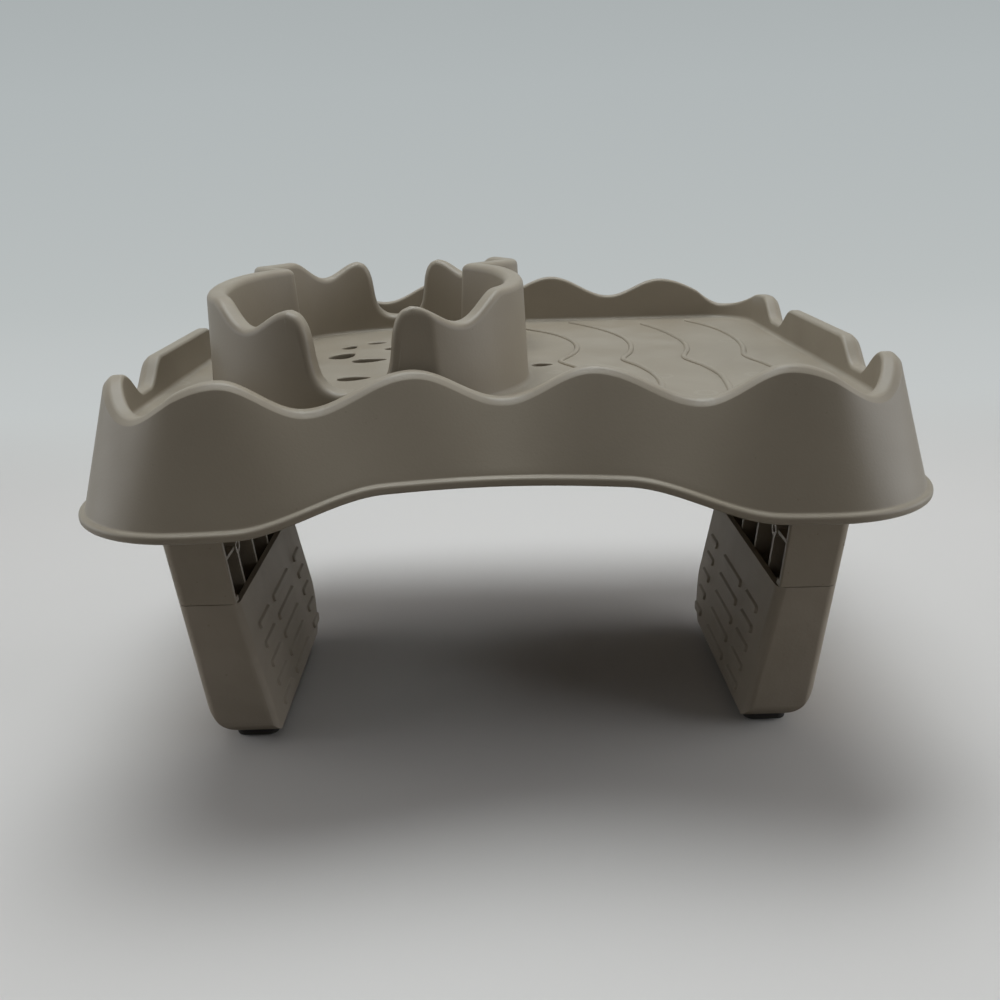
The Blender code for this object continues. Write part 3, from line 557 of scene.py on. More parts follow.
def spun(name, profile, steps):
    # profile as radius and height, turned round the upright axis
    bm = bmesh.new()
    line = vertRow(bm, [(x, 0.0, z) for x, z in profile])
    edges = [bm.edges.new(pair) for pair in zip(line, line[1:])]
    bmesh.ops.spin(bm, geom=line + edges, cent=(0, 0, 0), axis=(0, 0, 1),
                   angle=math.tau, steps=steps, use_merge=True)
    return meshPiece(name, bm)


def roundedBox(x0, x1, y0, y1, radii, steps):
    # outline from above; radii for the corners x1y0, x1y1, x0y1, x0y0
    corners = [(x1, y0, -90), (x1, y1, 0), (x0, y1, 90), (x0, y0, 180)]
    points = []
    for (cx, cy, start), radius in zip(corners, radii):
        mx = cx - radius if cx == x1 else cx + radius
        my = cy + radius if cy == y0 else cy - radius
        for k in range(steps + 1):
            a = math.radians(start + 90 * k / steps)
            points.append((mx + radius * math.cos(a), my + radius * math.sin(a)))
    return points


def boxSections(side, xs, ys, radius, levels, steps):
    # rounded boxes over one another, each level with its inset and height
    sections = []
    for inset, z in levels:
        corners = (xs[0] + inset, xs[1] - inset, ys[0] + inset, ys[1] - inset)
        outline = roundedBox(*corners, [radius - inset] * 4, steps)
        sections.append([(side * x, y, z) for x, y in outline])
    return sections


def arc(cx, cy, rx, ry, start, end, steps):
    # points on an ellipse between two angles in degrees, both ends included
    angles = [math.radians(start + (end - start) * k / steps) for k in range(steps + 1)]
    return [(cx + rx * math.cos(a), cy + ry * math.sin(a)) for a in angles]


def stretch(start, end, steps):
    # points on a straight line, both ends included
    (x0, y0), (x1, y1) = start, end
    return [(x0 + (x1 - x0) * k / steps, y0 + (y1 - y0) * k / steps) for k in range(steps + 1)]


def through(points, steps):
    # smooth line through the points
    last = len(points) - 1
    line = []
    for k in range(last):
        before, here, there, after = (Vector(points[min(max(i, 0), last)]) for i in range(k - 1, k + 3))
        bend = 2 * before - 5 * here + 4 * there - after
        twist = 3 * here - before - 3 * there + after
        for n in range(steps):
            t = n / steps
            line.append(0.5 * (2 * here + (there - before) * t + bend * t * t + twist * t ** 3))
    return [tuple(p) for p in line]


def ease(t):
    t = min(1.0, max(0.0, t))
    return t * t * (3 - 2 * t)


def swell(a, b, t):
    return a + (b - a) * (1 - math.cos(math.pi * t)) / 2


# tray

tray = {
    "halfWidth": 180.0, "halfDepth": 156.0, "corner": 53.0, "cornerSteps": 80,
    "hollow": 19.5,           # how far the front edge bends in
    "sideDrop": 4.0,          # the back edge's corners lie this far forward of its middle
    "step": 1.5,              # spacing round the outline
    "bead": 140.0, "beadHeight": 3.9, "beadProud": 2.6, "beadRound": 1.5, "beadUnder": 0.8,
    "beadCove": [(2.1, 0.02), (2.55, 0.2), (2.85, 0.7), (2.95, 1.3)],    # from the bead's top to the wall
    "archRise": 13.2, "archFlat": 47.0, "archEnd": 106.0,
    "wall": 2.6, "wallSteps": 11, "inset": 16.4,
    "crease": [(-0.07, -0.22), (0.18, 0.18)],    # crisp line under the lip
    "lip": 8.2, "lipDrop": 2.6, "lipRoll": 4.0, "lipRound": 1.7,
    "footOut": 2.5, "footRound": 2.3, "floor": 179.5, "floorThick": 2.6,
    "hollowInner": [(0.0, -1.4), (-0.5, -0.7)], "hollowOuter": [(0.7, -0.7), (0.1, -1.6)],
    "hollowEnd": (0.1, 1.2),
    "marks": [                # crests and troughs of the rim, front middle to back middle on the right
        ("x", 0.0, 185.0), ("x", 37.1, 197.6), ("x", 77.8, 185.0), ("x", 111.0, 198.7), ("x", 146.0, 184.5),
        ("y", -104.0, 196.8), ("y", -83.0, 185.2), ("y", -74.6, 185.2), ("y", -54.4, 196.5),
        ("y", 24.0, 196.7), ("y", 46.0, 186.0), ("y", 58.0, 186.0), ("y", 80.0, 197.7),
        ("x", 142.2, 187.7), ("x", 102.1, 203.9), ("x", 70.5, 194.3), ("x", 34.0, 206.8), ("x", 0.0, 196.5),
    ],
    "drains": [               # x, y, length, width, turn
        (-84.3, 23.8, 19.0, 11.5, 66.0), (-68.6, 8.6, 18.0, 11.0, 14.0), (-84.0, 50.8, 12.0, 7.0, 68.0),
        (-70.0, 64.0, 11.0, 6.5, 20.0), (-58.0, 42.5, 11.5, 8.0, -30.0), (-70.8, -39.3, 16.0, 9.5, 12.0),
        (-48.6, -42.0, 13.0, 8.0, -20.0), (-42.5, 16.0, 17.0, 10.0, -58.0), (-44.5, 58.0, 12.0, 7.0, -50.0),
        (20.7, -18.3, 10.5, 8.0, 5.0),
    ],
    "drainEdge": [(0.8, 0.0), (0.35, 0.12), (0.08, 0.45), (0.0, 0.9)],    # wider by, depth
    "drainSteps": 36, "drainEgg": 0.35,
}
deckUnder = tray["floor"] - tray["floorThick"]
rimFoot = tray["inset"] + tray["lip"] + tray["footOut"]    # inset where the rim's inner side meets the deck
cups = {
    "x": -60.4, "y": 3.0, "outer": 71.4, "wall": 8.6, "spacing": 95.5, "draft": 2.0, "wallSteps": 8,
    "cuspFillet": 4.0, "cuspSteps": 6,
    "foot": 2.4, "round": 3.2, "seat": 0.6, "squeeze": 0.6, "top": 228.0, "spread": 1.3,
    "middle": 67.0,           # radius of the wall's middle
    "marks": [(0.0, 188.5), (3.5, 188.5), (20.5, 221.3), (38.5, 213.3), (60.0, 224.4), (128.0, 228.0)],
    "gapLeg": 1,              # the steep side of the handle gap starts at this mark
    "gapSide": [              # as degrees round the ring and height
        (3.5, 188.5), (6.6, 189.4), (9.4, 191.6), (11.5, 195.3), (12.7, 200.8),
        (13.3, 206.4), (14.0, 211.8), (15.3, 216.4), (17.4, 219.7), (20.5, 221.3),
    ],
    "gapSteps": 5,            # between two of those points
    "hollowTop": 0.6, "hollowEdge": (0.5, 0.8), "hollowFlare": 0.4,
}


def edgeBend(x):
    return math.cos(math.pi * x / (2 * (tray["halfWidth"] - tray["corner"]))) ** 2


def frontEdge(x):
    return -tray["halfDepth"] + tray["hollow"] * edgeBend(x)


def backEdge(x):
    return tray["halfDepth"] - tray["sideDrop"] * (1 - edgeBend(x))


def halfOutline():
    # front middle to back middle, round the right side
    width, depth, corner, steps = tray["halfWidth"], tray["halfDepth"], tray["corner"], tray["cornerSteps"]
    straight = width - corner
    n = int(straight)
    points = [(straight * k / n, frontEdge(straight * k / n)) for k in range(n)]
    points += arc(straight, corner - depth, corner, corner, -90, 0, steps)
    backY = depth - tray["sideDrop"]
    length = backY + depth - 2 * corner
    m = int(length)
    points += [(width, corner - depth + length * k / m) for k in range(1, m)]
    points += arc(straight, backY - corner, corner, corner, 0, 90, steps)
    points += [(straight * (1 - k / n), backEdge(straight * (1 - k / n))) for k in range(1, n + 1)]
    return [Vector(p) for p in points]


def inwardNormals(line):
    last = len(line) - 1
    normals = []
    for i in range(last + 1):
        along = line[min(i + 1, last)] - line[max(i - 1, 0)]
        normals.append(Vector((-along.y, along.x)).normalized())
    normals[0], normals[-1] = Vector((0, 1)), Vector((0, -1))
    return normals


def markPlaces(line, normals):
    # where the middle of the lip passes each crest and trough
    rim = [p + n * (tray["inset"] + tray["lip"] / 2) for p, n in zip(line, normals)]
    found = [0]
    for axis, value, _ in tray["marks"][1:-1]:
        k = 0 if axis == "x" else 1
        i = found[-1] + 2
        while (rim[i][k] - value) * (rim[i + 1][k] - value) > 0:
            i += 1
        found.append(i)
    return found + [len(line) - 1]


def beadLevel(point):
    # the lower edge rises in an arch at the front and at the back
    across = abs(point.y) > tray["halfDepth"] - tray["corner"]
    t = (abs(point.x) - tray["archFlat"]) / (tray["archEnd"] - tray["archFlat"])
    return tray["bead"] + (tray["archRise"] * (1 - ease(t)) if across else 0.0)


def outlineSamples():
    # all round the tray: place, way inwards, height of the rim and height of the bead
    line = halfOutline()
    normals = inwardNormals(line)
    found = markPlaces(line, normals)
    last = len(line) - 1
    count = round(last / tray["step"])
    right = []
    for s in range(count + 1):
        at = last * s / count
        i = min(int(at), last - 1)
        k = max(k for k in range(len(found) - 1) if found[k] <= at)
        t = (at - found[k]) / (found[k + 1] - found[k])
        height = swell(tray["marks"][k][2], tray["marks"][k + 1][2], t)
        place = line[i].lerp(line[i + 1], at - i)
        right.append((place, normals[i].lerp(normals[i + 1], at - i).normalized(), height))
    left = [(Vector((-p.x, p.y)), Vector((-n.x, n.y)), h) for p, n, h in reversed(right[1:-1])]
    return [(*sample, beadLevel(sample[0])) for sample in right + left]


def rimSkin(rim, bead):
    # section of the rim from under the bead, over the lip, to the floor: inset and height
    inset, floor, edge = tray["inset"], tray["floor"], tray["beadRound"]
    top = bead + tray["beadHeight"]
    points = [(tray["beadProud"] + tray["wall"] - tray["beadUnder"], bead), (2 * edge, bead)]
    points += arc(edge, bead + edge, edge, edge, 270, 180, 5)
    points += arc(edge, top - edge, edge, edge, 180, 90, 5)
    points += [(x, top + up) for x, up in tray["beadCove"]]
    # a crisp crease, a short slope at 45 degrees, then rolled over to the flat top
    drop, roll = tray["lipDrop"], tray["lipRoll"]
    below, above = [(inset + x, rim - drop + z) for x, z in tray["crease"]]
    points += stretch(points[-1], below, tray["wallSteps"])[1:]
    eighth = 0.414            # tangent of half of 45 degrees
    slope = (drop - eighth * roll) / (1 - eighth)
    radius = (roll - slope) * math.sqrt(2)
    points += [above, (inset + slope / 2, rim - drop + slope / 2)]
    points += arc(inset + roll, rim - radius, radius, radius, 135, 90, 6)
    end, foot = tray["lipRound"], tray["footRound"]
    lipIn = inset + tray["lip"]
    footIn = lipIn + tray["footOut"] - foot
    points += arc(lipIn - end, rim - end, end, end, 90, 0, 5)
    points += stretch((lipIn, rim - end), (footIn, floor + foot), 5)[1:-1]
    points += arc(footIn + foot, floor + foot, foot, foot, 180, 270, 6)
    return points


def rimHollow(rim, bead):
    # the rim from below: up its inner side, under the lip and down its outer side
    wall, inset = tray["wall"], tray["inset"]
    lipIn, high = inset + tray["lip"], rim - wall
    points = [(lipIn + tray["footOut"] - tray["footRound"] - wall, deckUnder)]
    points += [(lipIn - wall + x, high + z) for x, z in tray["hollowInner"]]
    points += [(inset + wall + x, high + z) for x, z in tray["hollowOuter"]]
    x, z = tray["hollowEnd"]
    return points + stretch(points[-1], (tray["beadProud"] + wall + x, bead + z), 4)[1:]


def cupTop():
    # the wall's top over a quarter of the rings: degrees round it and height
    marks = cups["marks"]
    line = []
    for k, ((angle, height), (beyond, following)) in enumerate(zip(marks, marks[1:])):
        if k == cups["gapLeg"]:
            line += through(cups["gapSide"], cups["gapSteps"])
            continue
        count = max(2, round((beyond - angle) / cups["spread"]))
        for n in range(count):
            line.append((angle + (beyond - angle) * n / count, swell(height, following, n / count)))
    return line + [marks[-1]]


def cupStations():
    # places round the two rings: kind of curve, how far along it, height, way its top faces, quarter
    line = cupTop()
    end = len(line) - 1
    quarter = []
    for k, (angle, height) in enumerate(line):
        low, high = line[max(k - 1, 0)], line[min(k + 1, end)]
        along = Vector((math.radians(high[0] - low[0]) * cups["middle"], high[1] - low[1])).normalized()
        if k in (0, end):
            along = Vector((1, 0))
        quarter.append(("arc", angle / line[end][0], height, Vector((-along.y, along.x))))
    steps = cups["cuspSteps"]
    quarter += [("cusp", k / steps, line[end][1], Vector((0, 1))) for k in range(1, steps + 1)]
    right = [(*place, 1, 1) for place in quarter]
    right += [(*place, 1, -1) for place in reversed(quarter[:-1])]
    left = [(kind, t, h, facing, -1, sy) for kind, t, h, facing, _, sy in reversed(right[1:-1])]
    return right + left


def cupTaper(z):
    return cups["draft"] * (cups["top"] - z) / (cups["top"] - tray["floor"])


def cupOuter(z):
    return cups["outer"] + cupTaper(z)


def cupInner(z):
    return cups["outer"] - cups["wall"] - cupTaper(z)


def cupPoint(radius, slip, station):
    # slip moves the point round the ring, in millimetres
    kind, t, _, _, sx, sy = station
    half, fillet = cups["spacing"] / 2, cups["cuspFillet"]
    reach = radius + fillet
    beyond = math.asin(half / reach)
    if kind == "arc":
        a = -math.pi / 2 + (math.pi / 2 + beyond) * t + slip / cups["middle"]
        x, y = radius * math.cos(a), -half + radius * math.sin(a)
    else:
        a = math.pi + beyond * (1 - t)
        x, y = math.sqrt(reach * reach - half * half) + fillet * math.cos(a), fillet * math.sin(a)
    x, y = cups["x"] + sx * x, cups["y"] + sy * y
    # the rings stay clear of the rim at the front and at the back
    inwards = cupOuter(tray["floor"]) + cups["foot"] - radius
    room = rimFoot + cups["seat"] + cups["squeeze"] * inwards
    return x, min(max(y, frontEdge(x) + room), backEdge(x) - room)


def cupSkin(z, facing):
    # section of a ring's wall: outer foot, over the top, inner foot, as radius, height and slip
    floor, foot, edge = tray["floor"], cups["foot"], cups["round"]
    low, high = floor + foot, z - edge * facing.y
    slip = -edge * facing.x
    shares = [k / cups["wallSteps"] for k in range(1, cups["wallSteps"])]
    points = [(r, h, 0.0) for r, h in arc(cupOuter(floor) + foot, floor + foot, foot, foot, 270, 180, 5)]
    for t in shares:
        h = low + (high - low) * t
        points.append((cupOuter(h), h, slip * t ** 2))
    for middle, start, end in ((cupOuter(high) - edge, 0, 90), (cupInner(high) + edge, 90, 180)):
        for r, h in arc(middle, 0.0, edge, edge, start, end, 6):
            points.append((r, z - (edge - h) * facing.y, -(edge - h) * facing.x))
    for t in shares:
        h = high + (low - high) * t
        points.append((cupInner(h), h, slip * (1 - t) ** 2))
    points += [(r, h, 0.0) for r, h in arc(cupInner(floor) - foot, floor + foot, foot, foot, 0, -90, 5)]
    return points


def cupHollow(z, facing):
    # the ring's wall from below
    wall, flare = tray["wall"], cups["hollowFlare"]
    depth = wall + cups["hollowTop"]
    high, slip = z - depth * facing.y, -depth * facing.x
    outer, inner = cupOuter(high) - wall, cupInner(high) + wall
    across, drop = cups["hollowEdge"]
    return [
        (cupOuter(tray["floor"]) - wall + flare, deckUnder, 0.0),
        (outer, high - drop, slip), (outer - across, high, slip),
        (inner + across, high, slip), (inner, high - drop, slip),
        (cupInner(tray["floor"]) + wall - flare, deckUnder, 0.0),
    ]


def drainRows(x, y, length, width, turn):
    # egg-shaped hole with a rolled upper edge
    c, s = math.cos(math.radians(turn)), math.sin(math.radians(turn))
    rows = []
    for grow, down in tray["drainEdge"] + [(0.0, tray["floorThick"])]:
        row = []
        for k in range(tray["drainSteps"]):
            a = 2 * math.pi * k / tray["drainSteps"]
            u = (length / 2 + grow) * math.cos(a)
            v = (width / 2 + grow) * math.sin(a) * (1 - tray["drainEgg"] * math.cos(a))
            row.append((x + u * c - v * s, y + u * s + v * c, tray["floor"] - down))
        rows.append(row)
    return rows


def rimRows(bm, samples, section):
    cuts = [section(rim, bead) for _, _, rim, bead in samples]
    rows = []
    for k in range(len(cuts[0])):
        places = [p + n * cut[k][0] for (p, n, _, _), cut in zip(samples, cuts)]
        rows.append(vertRow(bm, [(p.x, p.y, cut[k][1]) for p, cut in zip(places, cuts)]))
    return rows


def ringRows(bm, stations, section):
    cuts = [section(height, facing) for _, _, height, facing, _, _ in stations]
    rows = []
    for k in range(len(cuts[0])):
        places = [cupPoint(cut[k][0], cut[k][2], station) for station, cut in zip(stations, cuts)]
        rows.append(vertRow(bm, [(x, y, cut[k][1]) for (x, y), cut in zip(places, cuts)]))
    return rows


def loopEdges(bm, row):
    return [bm.edges.get((a, b)) or bm.edges.new((a, b)) for a, b in zip(row, row[1:] + row[:1])]


def makeTray():
    bm = bmesh.new()
    samples, stations = outlineSamples(), cupStations()
    skin, hollow = rimRows(bm, samples, rimSkin), rimRows(bm, samples, rimHollow)
    ringFaces(bm, skin)
    ringFaces(bm, hollow + skin[:1])
    ring, ringUnder = ringRows(bm, stations, cupSkin), ringRows(bm, stations, cupHollow)
    ringFaces(bm, ring)
    ringFaces(bm, ringUnder)
    # the flat faces between those outlines, with the drains as holes in them
    fills = {
        "deck": [skin[-1], ring[0]], "cup": [ring[-1]],
        "deckUnder": [hollow[0], ringUnder[0]], "cupUnder": [ringUnder[-1]],
    }
    for drain in tray["drains"]:
        rows = [vertRow(bm, r) for r in drainRows(*drain)]
        ringFaces(bm, rows)
        where = "deck" if drain[0] > cups["x"] + cups["outer"] else "cup"
        fills[where].append(rows[0])
        fills[where + "Under"].append(rows[-1])
    for rows in fills.values():
        edges = [e for row in rows for e in loopEdges(bm, row)]
        bmesh.ops.triangle_fill(bm, use_beauty=True, use_dissolve=False, edges=edges)
    shell = meshPiece("trayShell", bm, trayPlastic, merge=0.0005)
    smoothShade(shell, 50)
    return shell


trayShell = makeTray()

# geometry node trees for what repeats

rowInputs = [
    ("Part", "Object"), ("Count", "Int"), ("Start", "Vector"), ("Step", "Vector"), ("Finish", "Material"),
]
lineInputs = [("Width", "Float"), ("Height", "Float"), ("Finish", "Material")]
lineLook = {"spacing": 0.0012, "sides": 20, "thinFrom": 0.42, "endShare": 0.25}


def newTree(name, inputs):
    tree = bpy.data.node_groups.new(name, "GeometryNodeTree")
    tree.interface.new_socket("Geometry", in_out="INPUT", socket_type="NodeSocketGeometry")
    for label, kind in inputs:
        tree.interface.new_socket(label, in_out="INPUT", socket_type="NodeSocket" + kind)
    tree.interface.new_socket("Geometry", in_out="OUTPUT", socket_type="NodeSocketGeometry")
    return tree, tree.nodes.new("NodeGroupInput").outputs, tree.nodes.new("NodeGroupOutput").inputs


def chain(tree, kind, sockets, **settings):
    # one step of a tree, of which the first output goes on
    return addNode(tree, kind, sockets, **settings).outputs[0]


def rowParts(tree, given):
    # one part repeated along a straight line
    sockets = {"Count": given["Count"], "Start Location": given["Start"], "Offset": given["Step"]}
    line = chain(tree, "GeometryNodeMeshLine", sockets, mode="OFFSET")
    part = addNode(tree, "GeometryNodeObjectInfo", {"Object": given["Part"]}).outputs["Geometry"]
    spread = chain(tree, "GeometryNodeInstanceOnPoints", {"Points": line, "Instance": part})
    return chain(tree, "GeometryNodeRealizeInstances", {"Geometry": spread})


def withFinish(tree, geometry, given):
    return chain(tree, "GeometryNodeSetMaterial", {"Geometry": geometry, "Material": given["Finish"]})


def rowTree():
    tree, given, out = newTree("partsInRow", rowInputs)
    row = withFinish(tree, rowParts(tree, given), given)
    both = addNode(tree, "GeometryNodeJoinGeometry")
    tree.links.new(row, both.inputs[0])
    tree.links.new(given["Geometry"], both.inputs[0])
    tree.links.new(both.outputs[0], out[0])
    return tree


def fusedTree():
    # the row is fused with the piece that carries the modifier
    tree, given, out = newTree("rowFused", rowInputs)
    fuse = addNode(tree, "GeometryNodeMeshBoolean", operation="UNION", solver="EXACT")
    tree.links.new(rowParts(tree, given), fuse.inputs["Mesh 2"])
    tree.links.new(given["Geometry"], fuse.inputs["Mesh 2"])
    tree.links.new(withFinish(tree, fuse.outputs["Mesh"], given), out[0])
    return tree


def reliefTree():
    # a raised line that follows a drawn path and thins out at its ends
    tree, given, out = newTree("raisedLine", lineInputs)
    path = chain(tree, "GeometryNodeMeshToCurve", {"Mesh": given["Geometry"]})
    path = chain(tree, "GeometryNodeCurveSplineType", {"Curve": path}, spline_type="NURBS")
    sockets = {"Curve": path, "Length": lineLook["spacing"]}
    path = chain(tree, "GeometryNodeResampleCurve", sockets, mode="LENGTH")
    path = chain(tree, "GeometryNodeSetCurveNormal", {"Curve": path}, mode="Z_UP")
    ring = chain(tree, "GeometryNodeCurvePrimitiveCircle", {"Resolution": lineLook["sides"], "Radius": 1.0})
    size = chain(tree, "ShaderNodeCombineXYZ", {"X": given["Width"], "Y": given["Height"], "Z": 1.0})
    oval = chain(tree, "GeometryNodeTransform", {"Geometry": ring, "Scale": size})
    along = addNode(tree, "GeometryNodeSplineParameter").outputs["Factor"]
    fromMiddle = combine(tree, "ABSOLUTE", combine(tree, "SUBTRACT", along, 0.5))
    thin = remap(tree, fromMiddle, lineLook["thinFrom"], 0.5, 1.0, lineLook["endShare"], "SMOOTHSTEP")
    path = chain(tree, "GeometryNodeSetCurveRadius", {"Curve": path, "Radius": thin})
    sockets = {"Curve": path, "Profile Curve": oval, "Fill Caps": True}
    swept = chain(tree, "GeometryNodeCurveToMesh", sockets)
    real = chain(tree, "GeometryNodeRealizeInstances", {"Geometry": swept})
    tree.links.new(withFinish(tree, real, given), out[0])
    return tree


partsInRow, rowFused, raisedLine = rowTree(), fusedTree(), reliefTree()


def runTree(piece, tree, values):
    step = piece.modifiers.new(tree.name, "NODES")
    step.node_group = tree
    for item in tree.interface.items_tree:
        if item.in_out == "INPUT" and item.name in values:
            step[item.identifier] = values[item.name]
    bakeModifiers(piece)


def repeatOn(piece, tree, part, count, stride, finish, start=(0, 0, 0)):
    # the part is used up
    first, step = [v * mm for v in start], [v * mm for v in stride]
    runTree(piece, tree, {"Part": part, "Count": count, "Start": first, "Step": step, "Finish": finish})
    bpy.data.objects.remove(part, do_unlink=True)


# hollow pillars under the floor that take the screws

pillar = {
    "x": 151.0, "pitch": 56.4, "count": 3,
    "foot": 153.8, "outer": 8.6, "edge": 0.4, "flare": 1.2, "sink": 1.3,
    "bore": 4.6, "boreDepth": 12.0, "boreTip": 0.8,
}


def makePillar():
    foot, top = pillar["foot"], tray["floor"] - pillar["sink"]
    outer, bore, edge = pillar["outer"] / 2, pillar["bore"] / 2, pillar["edge"]
    flare, depth = pillar["flare"], foot + pillar["boreDepth"]
    profile = [(0.0, top), (outer + flare, top), (outer + flare, deckUnder)]
    profile += arc(outer + flare, deckUnder - flare, -flare, flare, 90, 0, 5)[1:]
    profile += [(outer, foot + edge), (outer - edge, foot), (bore + edge, foot), (bore, foot + edge)]
    profile += [(bore, depth), (0.0, depth + pillar["boreTip"])]
    return spun("pillar", profile, 40)


for side in (-1, 1):
    first, stride = (side * pillar["x"], -pillar["pitch"], 0), (0, pillar["pitch"], 0)
    repeatOn(trayShell, partsInRow, makePillar(), pillar["count"], stride, trayPlastic, first)
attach(trayShell, "tray_and_posts")
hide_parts("tray")
print("tray shell: %d faces" % len(trayShell.data.polygons))

# raised wave lines on the deck

deckWaves = {
    "width": 1.5, "height": 1.2,    # half width and half height of the line's oval
    "sink": 0.1,
    "mirror": -12.6,          # the lines repeat about this depth
    "lines": [                # from the back to the soft cusp
        [
            (8.0, 112.0), (15.1, 99.8), (24.0, 89.0), (30.5, 79.2), (36.6, 66.0), (40.3, 53.6),
            (42.3, 40.0), (42.5, 26.4), (39.5, 9.6), (34.4, -1.5), (31.2, -8.2), (30.0, -12.6),
        ],
        [
            (45.4, 118.7), (53.5, 105.5), (60.7, 90.7), (66.6, 74.5), (70.4, 59.2), (72.0, 43.0),
            (71.9, 28.1), (68.5, 7.8), (65.2, -1.4), (62.6, -8.0), (61.9, -12.6),
        ],
        [
            (82.1, 119.6), (88.6, 104.2), (94.1, 87.9), (97.8, 70.0), (99.9, 52.8), (101.4, 39.0),
            (101.2, 26.7), (98.8, 10.0), (95.8, 0.6), (93.4, -7.5), (92.9, -12.6),
        ],
        [
            (117.3, 112.2), (123.2, 98.5), (127.2, 85.1), (130.2, 68.0), (131.3, 51.4), (131.4, 38.0),
            (130.6, 24.8), (128.1, 7.9), (125.9, 0.2), (124.2, -7.0), (123.8, -12.6),
        ],
    ],
    "clear": 8.0,             # distance kept from the rim's foot
}


def makeDeckWaves():
    bm = bmesh.new()
    room = rimFoot + deckWaves["clear"]
    for line in deckWaves["lines"]:
        points = line + [(x, 2 * deckWaves["mirror"] - y) for x, y in reversed(line[:-1])]
        points = [(x, y) for x, y in points if frontEdge(x) + room < y < backEdge(x) - room]
        row = vertRow(bm, [(x, y, tray["floor"] - deckWaves["sink"]) for x, y in points])
        for pair in zip(row, row[1:]):
            bm.edges.new(pair)
    bmesh.ops.scale(bm, vec=(mm, mm, mm), verts=bm.verts)
    mesh = bpy.data.meshes.new("deckWaves")
    bm.to_mesh(mesh)
    bm.free()
    made = bpy.data.objects.new("deckWaves", mesh)
    scene.collection.objects.link(made)
    width, height = deckWaves["width"] * mm, deckWaves["height"] * mm
    runTree(made, raisedLine, {"Width": width, "Height": height, "Finish": trayPlastic})
    made.data.shade_smooth()
    return made


waves = makeDeckWaves()
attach(waves, "tray_and_posts")
print("deck waves: %d faces" % len(waves.data.polygons))

# legs: shared faces, x = first + second * z on the right leg

leg = {
    "halfDepth": 70.5, "bootInner": (115.3, 0.191), "outer": (149.8, 0.128), "postInner": (122.7, 0.108),
    "seam": 77.0, "corner": 5.0, "cornerSteps": 12, "slide": 0.153, "wall": 3.0,
    "cavityLeft": 133.007, "cavityRight": 156.656,    # boot cavity at the seam
    "toe": 8.0, "toeLeast": 1.5, "toeSteps": 8, "heelBack": 36.0, "heelUp": 48.0, "heelSteps": 28,
    "margin": 40.0,           # cutters reach this far past the leg
}
nearX, farX = leg["bootInner"][0] - leg["margin"], leg["outer"][0] + leg["margin"]
farY = leg["halfDepth"] + leg["margin"]


def lean(face, z):
    return face[0] + face[1] * z


def sideProfile(inset, bottom, top):
    # boot seen from the side: small toe radius, long quarter ellipse at the heel
    front, back = -leg["halfDepth"] + inset, leg["halfDepth"] - inset
    toe = max(leg["toeLeast"], leg["toe"] - inset)
    heelBack, heelUp = leg["heelBack"] - inset, leg["heelUp"] - inset
    profile = [(front, top)]
    profile += arc(front + toe, bottom + toe, toe, toe, 180, 270, leg["toeSteps"])
    profile += arc(back - heelBack, bottom + heelUp, heelBack, heelUp, -90, 0, leg["heelSteps"])
    return profile + [(back, top)]


def leaningSlab(name, side, profile, inner, outer):
    return loft(name, [[(side * lean(face, z), y, z) for y, z in profile] for face in (inner, outer)])


def acrossPrism(name, side, outline, y0=-farY, y1=farY):
    return loft(name, [[(side * x, y, z) for x, z in outline] for y in (y0, y1)])


def planLoft(name, side, inner, outer, z0, z1, innerRadius):
    depth, corner = leg["halfDepth"], leg["corner"]
    radii = (corner, corner, innerRadius, innerRadius)
    sections = []
    for z in (z0, z1):
        outline = roundedBox(lean(inner, z), lean(outer, z), -depth, depth, radii, leg["cornerSteps"])
        sections.append([(side * x, y, z) for x, y in outline])
    return loft(name, sections)


def cavityFaces(clear):
    # inner and outer face of the boot's cavity, each set in by clear
    slope, seam = leg["slide"], leg["seam"]
    left, right = leg["cavityLeft"] + clear, leg["cavityRight"] - clear
    return (left - slope * seam, slope), (right - slope * seam, slope)


boot = {
    "bottom": 5.0, "cavity": 10.0, "innerCorner": 5.0, "toeEdge": 2.5, "softEdge": 0.9,
    "edgeAcross": 21.0, "edgeUp": 28.0, "edgeSteps": 22,    # rounded lower outer edge
    "edgeWall": 2.5, "cavityIn": 1.5,    # wall there, and how far the cavity's limit stays inside at the top
    "above": 20.0,            # cutters reach this far above the seam
    "gripTop": 56.7, "gripPitch": 10.9, "gripRows": 5, "gripHeight": 4.2, "gripProud": 1.4, "gripEdge": 4.0,
    "gripSteps": 8,
    "gripRoot": [(1.2, -0.3), (0.0, -0.3), (-0.15, 0.0)],      # depth in the face, set in by
    "gripCrown": [(0.6, 0.15), (0.9, 0.45), (1.0, 0.9)],       # share of the full height, set in by
    "bars": [(-52.0, -28.0), (-18.5, 22.5), (39.0, 57.0)],
    "padX": (119.6, 141.0), "padY": (-64.0, 34.0), "padThick": 6.6, "padRadius": 5.0, "gap": 0.3,
}
bootTop = leg["seam"] + boot["above"]


def lowerEdge(corner, wall, inwards):
    # boot seen from the front, with its rounded lower edge set in by wall
    across, up, steps = boot["edgeAcross"], boot["edgeUp"], boot["edgeSteps"]
    z = boot["bottom"] + up
    outline = [(lean(leg["bootInner"], bootTop), bootTop)] + corner
    outline += arc(lean(leg["outer"], z) - across, z, across - wall, up - wall, -90, 0, steps)
    return outline + [(lean(leg["outer"], bootTop) - inwards, bootTop)]


